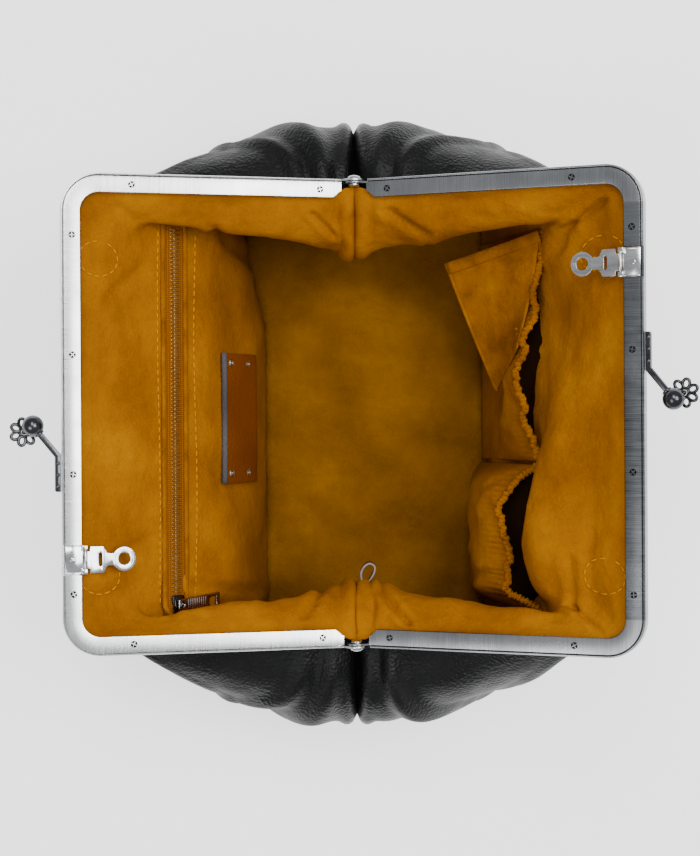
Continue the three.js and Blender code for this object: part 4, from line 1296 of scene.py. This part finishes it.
def pocket_grid(spec, columns, rows):
    top = spec["top"]
    grid = np.zeros((rows, columns, 3))
    for j in range(columns):
        s = j / (columns - 1)
        x, y_top = catmull(top, s)
        across = abs(2 * s - 1)
        for i in range(rows):
            t = 1 - i / (rows - 1)
            z = POCKET_BASE + (spec["height"] - POCKET_BASE) * t
            z += 1.2 * math.sin(x / 9) * smoothstep(0.8, 1, t)
            belly = catmull([(spec["bottom"],), (spec["middle"],), (spec["middle"] + 1.5,), (y_top,)], t)[0]
            to_wall = max(wall_depth(z) - 2.2, belly) - belly
            y = belly + to_wall * across ** 6 * (1 - smoothstep(0.7, 1, t) * 0.5)
            ruffle = smoothstep(0.70, 1.0, t)
            soft = smoothstep(0.0, 0.3, t) * (1 - across ** 8)
            phase = 2.2 * fractal((x, 0, z), 24, 8)
            y += 0.45 * ruffle * math.sin(2 * math.pi * x / 3.1 + phase)
            y += 1.5 * soft * t * math.sin(2 * math.pi * x / 26 + 1.6 * phase)
            y += 3.0 * soft * fractal((x, 9, z), 24, 12)
            grid[i, j] = (x, -y, z)
    return grid


def make_pockets():
    columns, rows = ((240, 44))
    for name, spec in POCKETS.items():
        grid = pocket_grid(spec, columns, rows)
        normals = grid_normals(grid)
        obj = mesh_object(f"{name}_cloth", *sheet_parts(grid, normals, LINING), SUEDE)
        finish_piece(obj, "fold_front", "suede", name)
        along = np.cumsum([0.0, *np.linalg.norm(np.diff(grid[0], axis=0), axis=1)])
        scale = [1 + 0.28 * math.sin(2 * math.pi * d / 2.5) for d in along]
        edge = sweep_parts(grid[0], circle_section(2.0, 10), scale=scale)
        add_piece(f"{name}_elastic", [edge], SUEDE_EDGE_AND_SHADE, "fold_front", "suede")


def make_pocket_shadow_sheets():
    """Painted shadow: near-black suede sheets from each pocket's mouth back to the wall, where the gap behind
    the pocket lies in shade.
    """
    low_z, high_z = 86.0, 101.0
    for name, spec in POCKETS.items():
        grid = np.zeros((10, 60, 3))
        for j in range(60):
            x, y_top = catmull(spec["top"], 0.06 + 0.88 * j / 59)
            near, far = y_top - 1.0, max(wall_depth(high_z) + 2.0, y_top + 1.0)
            for i, f in enumerate(np.linspace(0, 1, 10)):
                z = low_z + (high_z - low_z) * f ** 1.5 - 4 * math.sin(math.pi * f)
                grid[i, j] = (x, -(near + (far - near) * f), z)
        add_piece(f"{name}_painted_shadow", [sheet_parts(grid, grid_normals(grid), 0.8)], POCKET_SHADOW_SUEDE, "fold_front",
                  "suede")


def make_pocket_fold():
    """The flat panel from the gusset to the long pocket's elastic edge, with its strip and hem."""
    left = [Vector((90, -55, 70)), Vector((52, -70, 64)), Vector((14, -86, 58))]
    right = [Vector((105, -108, 102)), Vector((72, -103, 101.5)), Vector((38, -94.5, 99.5))]
    steps = 26
    grid = np.zeros((steps, steps, 3))
    for i in range(steps):
        for j in range(steps):
            g, f = i / (steps - 1), j / (steps - 1)
            point = Vector(catmull(left, g)).lerp(Vector(catmull(right, g)), f)
            belly = 2.5 * math.sin(math.pi * f) * (0.4 + 0.6 * g)
            grid[i, j] = point + Vector((0, -belly * 0.3, -belly + 0.8 * fractal(point, 22, 3)))
    flat = [(-3.4, -0.5), (3.4, -0.5), (3.6, 0.3), (3.0, 1.1), (-3.0, 1.1), (-3.6, 0.3)]
    # The panel takes the darker edge suede as painted shade on the pocket's own suede.
    for name, parts in (("panel", sheet_parts(grid, grid_normals(grid), LINING)),
                        ("strip", sweep_parts(grid[1] + (0, 0, 0.9), flat)),
                        ("hem", sweep_parts(grid[:, 0] + (0, 0, 0.3), circle_section(1.3, 8, 0.7)))):
        add_piece(f"pocket_side_{name}", [parts], SUEDE_EDGE_AND_SHADE, "fold_front", "suede")


# ---- floor, base and board ----
def make_floor_and_base(lining_grid, leather_grid):
    ring = lining_grid[0][-1]
    steps = 14
    low, high = ring[:, :2].min(axis=0), ring[:, :2].max(axis=0)
    xs = np.linspace(low[0], high[0], 60)
    grid = np.zeros((steps * 2, len(xs), 3))
    for j, x in enumerate(xs):
        near = [np.interp(x, *zip(*sorted((p[0], p[1]) for p in ring if p[1] * side >= 0)))
                for side in (-1, 1)]
        for i, y in enumerate(np.linspace(near[1], near[0], steps * 2)):
            grid[i, j] = (x, y, 6.6 + 0.9 * fractal((x, y, 0), 70, 21) + 0.35 * fractal((x, y, 0), 25, 22))
    normals = np.zeros_like(grid)
    normals[:, :, 2] = 1
    obj = mesh_object("lining_floor_cloth", *sheet_parts(grid, normals, LINING), SUEDE_FLOOR_SHADED)
    finish_piece(obj, "root", "suede", "lining_floor")
    outline = leather_grid[0][-1]
    rows = [(0.0, 1.0), (0.5, 1.0), (0.97, 1.0), (1.0, 1.15), (1.015, 1.7), (1.012, 2.4), (0.99, 3.0)]
    grid = np.array([[(p[0] * (0.02 + 0.98 * f), p[1] * (0.02 + 0.98 * f), z) for p in outline]
                     for f, z in rows])
    add_piece("leather_base_panel", [sheet_parts(grid, grid_normals(grid), 1.9)], BLACK, "root",
              "black_leather", "leather_base")
    welt = [(p[0] * 1.012, p[1] * 1.012, 4.2) for p in outline[:-1]]
    add_piece("base_welt", [sweep_parts(welt, circle_section(1.6, 10), closed=True)], BLACK, "root",
              "black_leather")
    with_material(frame["nodes"]["base_board"].data, BOARD)


# ---- handles ----
def handle_path():
    top = -2 * RING_RADIUS - 2.8
    half = HANDLE_X
    rows = [(-half, top), (-half + 4, top - 28), (-half + 32, -HANDLE_DROP + 8), (0, -HANDLE_DROP),
            (half - 32, -HANDLE_DROP + 8), (half - 4, top - 28), (half, top)]
    return [Vector((x, 0, z)) for x, z in (catmull(rows, i / 60) for i in range(61))]


def make_handle(half):
    joint = JOINTS[f"handle_{half}_swing"]
    body = f"handle_{half}"
    at = shift(Vector(joint["pos_m"]) / MM)
    path = handle_path()
    count = len(path)
    scale = [1 - 0.32 * (abs(2 * i / (count - 1) - 1) ** 6) for i in range(count)]
    section = [(4.0 * math.sin(a) * (1.12 if math.sin(a) > 0 else 0.9), 6.3 * math.cos(a)) for a in turns(24)]
    parts = [sweep_parts(path, section, up=(0, 1, 0), scale=scale)]
    for end in (-1, 1):
        hoop = [(end * HANDLE_X, 3.1 * math.sin(a), -2 * RING_RADIUS + 3.1 * math.cos(a))
                for a in np.linspace(-0.84 * math.pi, 0.84 * math.pi, 22)]
        parts.append(sweep_parts(hoop, flat_section(3.6, 0.75), up=(1, 0, 0)))
    add_piece(f"handle_strap_{half}_leather", parts, BLACK, body, "black_leather", f"handle_strap_{half}",
              at=at, sharp=50)
    seam = []
    for i in range(3, count - 4):
        a, b = path[i], path[i].lerp(path[i + 1], 0.62)
        for side in (-1, 1):
            off = Vector((0, side * 3.9 * scale[i], 0))
            seam.append(capsule_parts(a + off, b + off, 0.35, (0, side, 0)))
    add_piece(f"handle_seam_{half}", seam, BLACK_THREAD, body, "black_leather", at=at)
    for name, end in END_NAMES.items():
        ring = [(end * HANDLE_X + RING_RADIUS * math.cos(a), 0, -RING_RADIUS + RING_RADIUS * math.sin(a))
                for a in turns(48)]
        ring = sweep_parts(ring, circle_section(RING_WIRE, 14), closed=True, up=(0, 1, 0))
        add_piece(f"handle_ring_{half}_{name}_metal", [ring], POLISHED, body, "nickel_bright",
                  f"handle_ring_{half}_{name}", at=at)
        make_anchor(half, name, end, joint)


def make_anchor(half, name, end, joint):
    """A riveted plate with a staple that holds the handle's ring."""
    axis = Vector(joint["pos_m"]) / MM
    at = shift((end * HANDLE_X, axis.y, axis.z)) @ spin(SIDES[half] * ANCHOR_SLOPE[half], "X")
    outline = [*arc(5.6, 4.6, 2.4, 0, 90, 5), *arc(-5.6, 4.6, 2.4, 90, 180, 5),
               *arc(-5.6, -4.6, 2.4, 180, 270, 5), *arc(5.6, -4.6, 2.4, 270, 360, 5)]
    plate = placed(flat_plate(f"anchor_plate_{half}_{name}", outline, [], 1.5, 0.35, POLISHED),
                   shift((0, 0, 4.45)))
    ring = [(0, 3.75 * math.sin(a), 3.75 * math.cos(a)) for a in turns(32)]
    staple = [sweep_parts(ring, flat_section(2.9, 0.8), closed=True, up=(1, 0, 0))]
    staple += [lathe_parts([(0.01, 0), (1.4, 0), (1.3, 0.5), (0.7, 0.85), (0.01, 0.95)], 14,
                           shift((x, y, 3.75)) @ spin(180, "X")) for x in (-5.6, 5.6) for y in (-4.4, 4.4)]
    loop = mesh_object(f"anchor_staple_{half}_{name}", *joined(staple), POLISHED)
    obj = combine([plate, loop], f"handle_anchor_{half}_{name}_metal")
    shade_by_angle(obj, 40)
    finish_piece(placed(obj, at), f"frame_{half}", "nickel_bright", f"handle_anchor_{half}_{name}")


make_camera()
make_studio()
lining_halves, lining_grid, leather_grid = make_shells()
make_pleats(lining_grid, leather_grid)
surfaces = {half: Surface(obj) for half, obj in lining_halves.items()}
for half in SIDES:
    make_frame_half(half)
    make_screws(half)
    make_kiss_lock(half)
    make_strap_tab(half)
    make_handle(half)
make_rivets()
make_zip(surfaces["back"])
make_reinforcements(surfaces)
make_label(surfaces["back"])
make_key_loop()
make_pockets()
make_pocket_shadow_sheets()
make_pocket_fold()
make_floor_and_base(lining_grid, leather_grid)
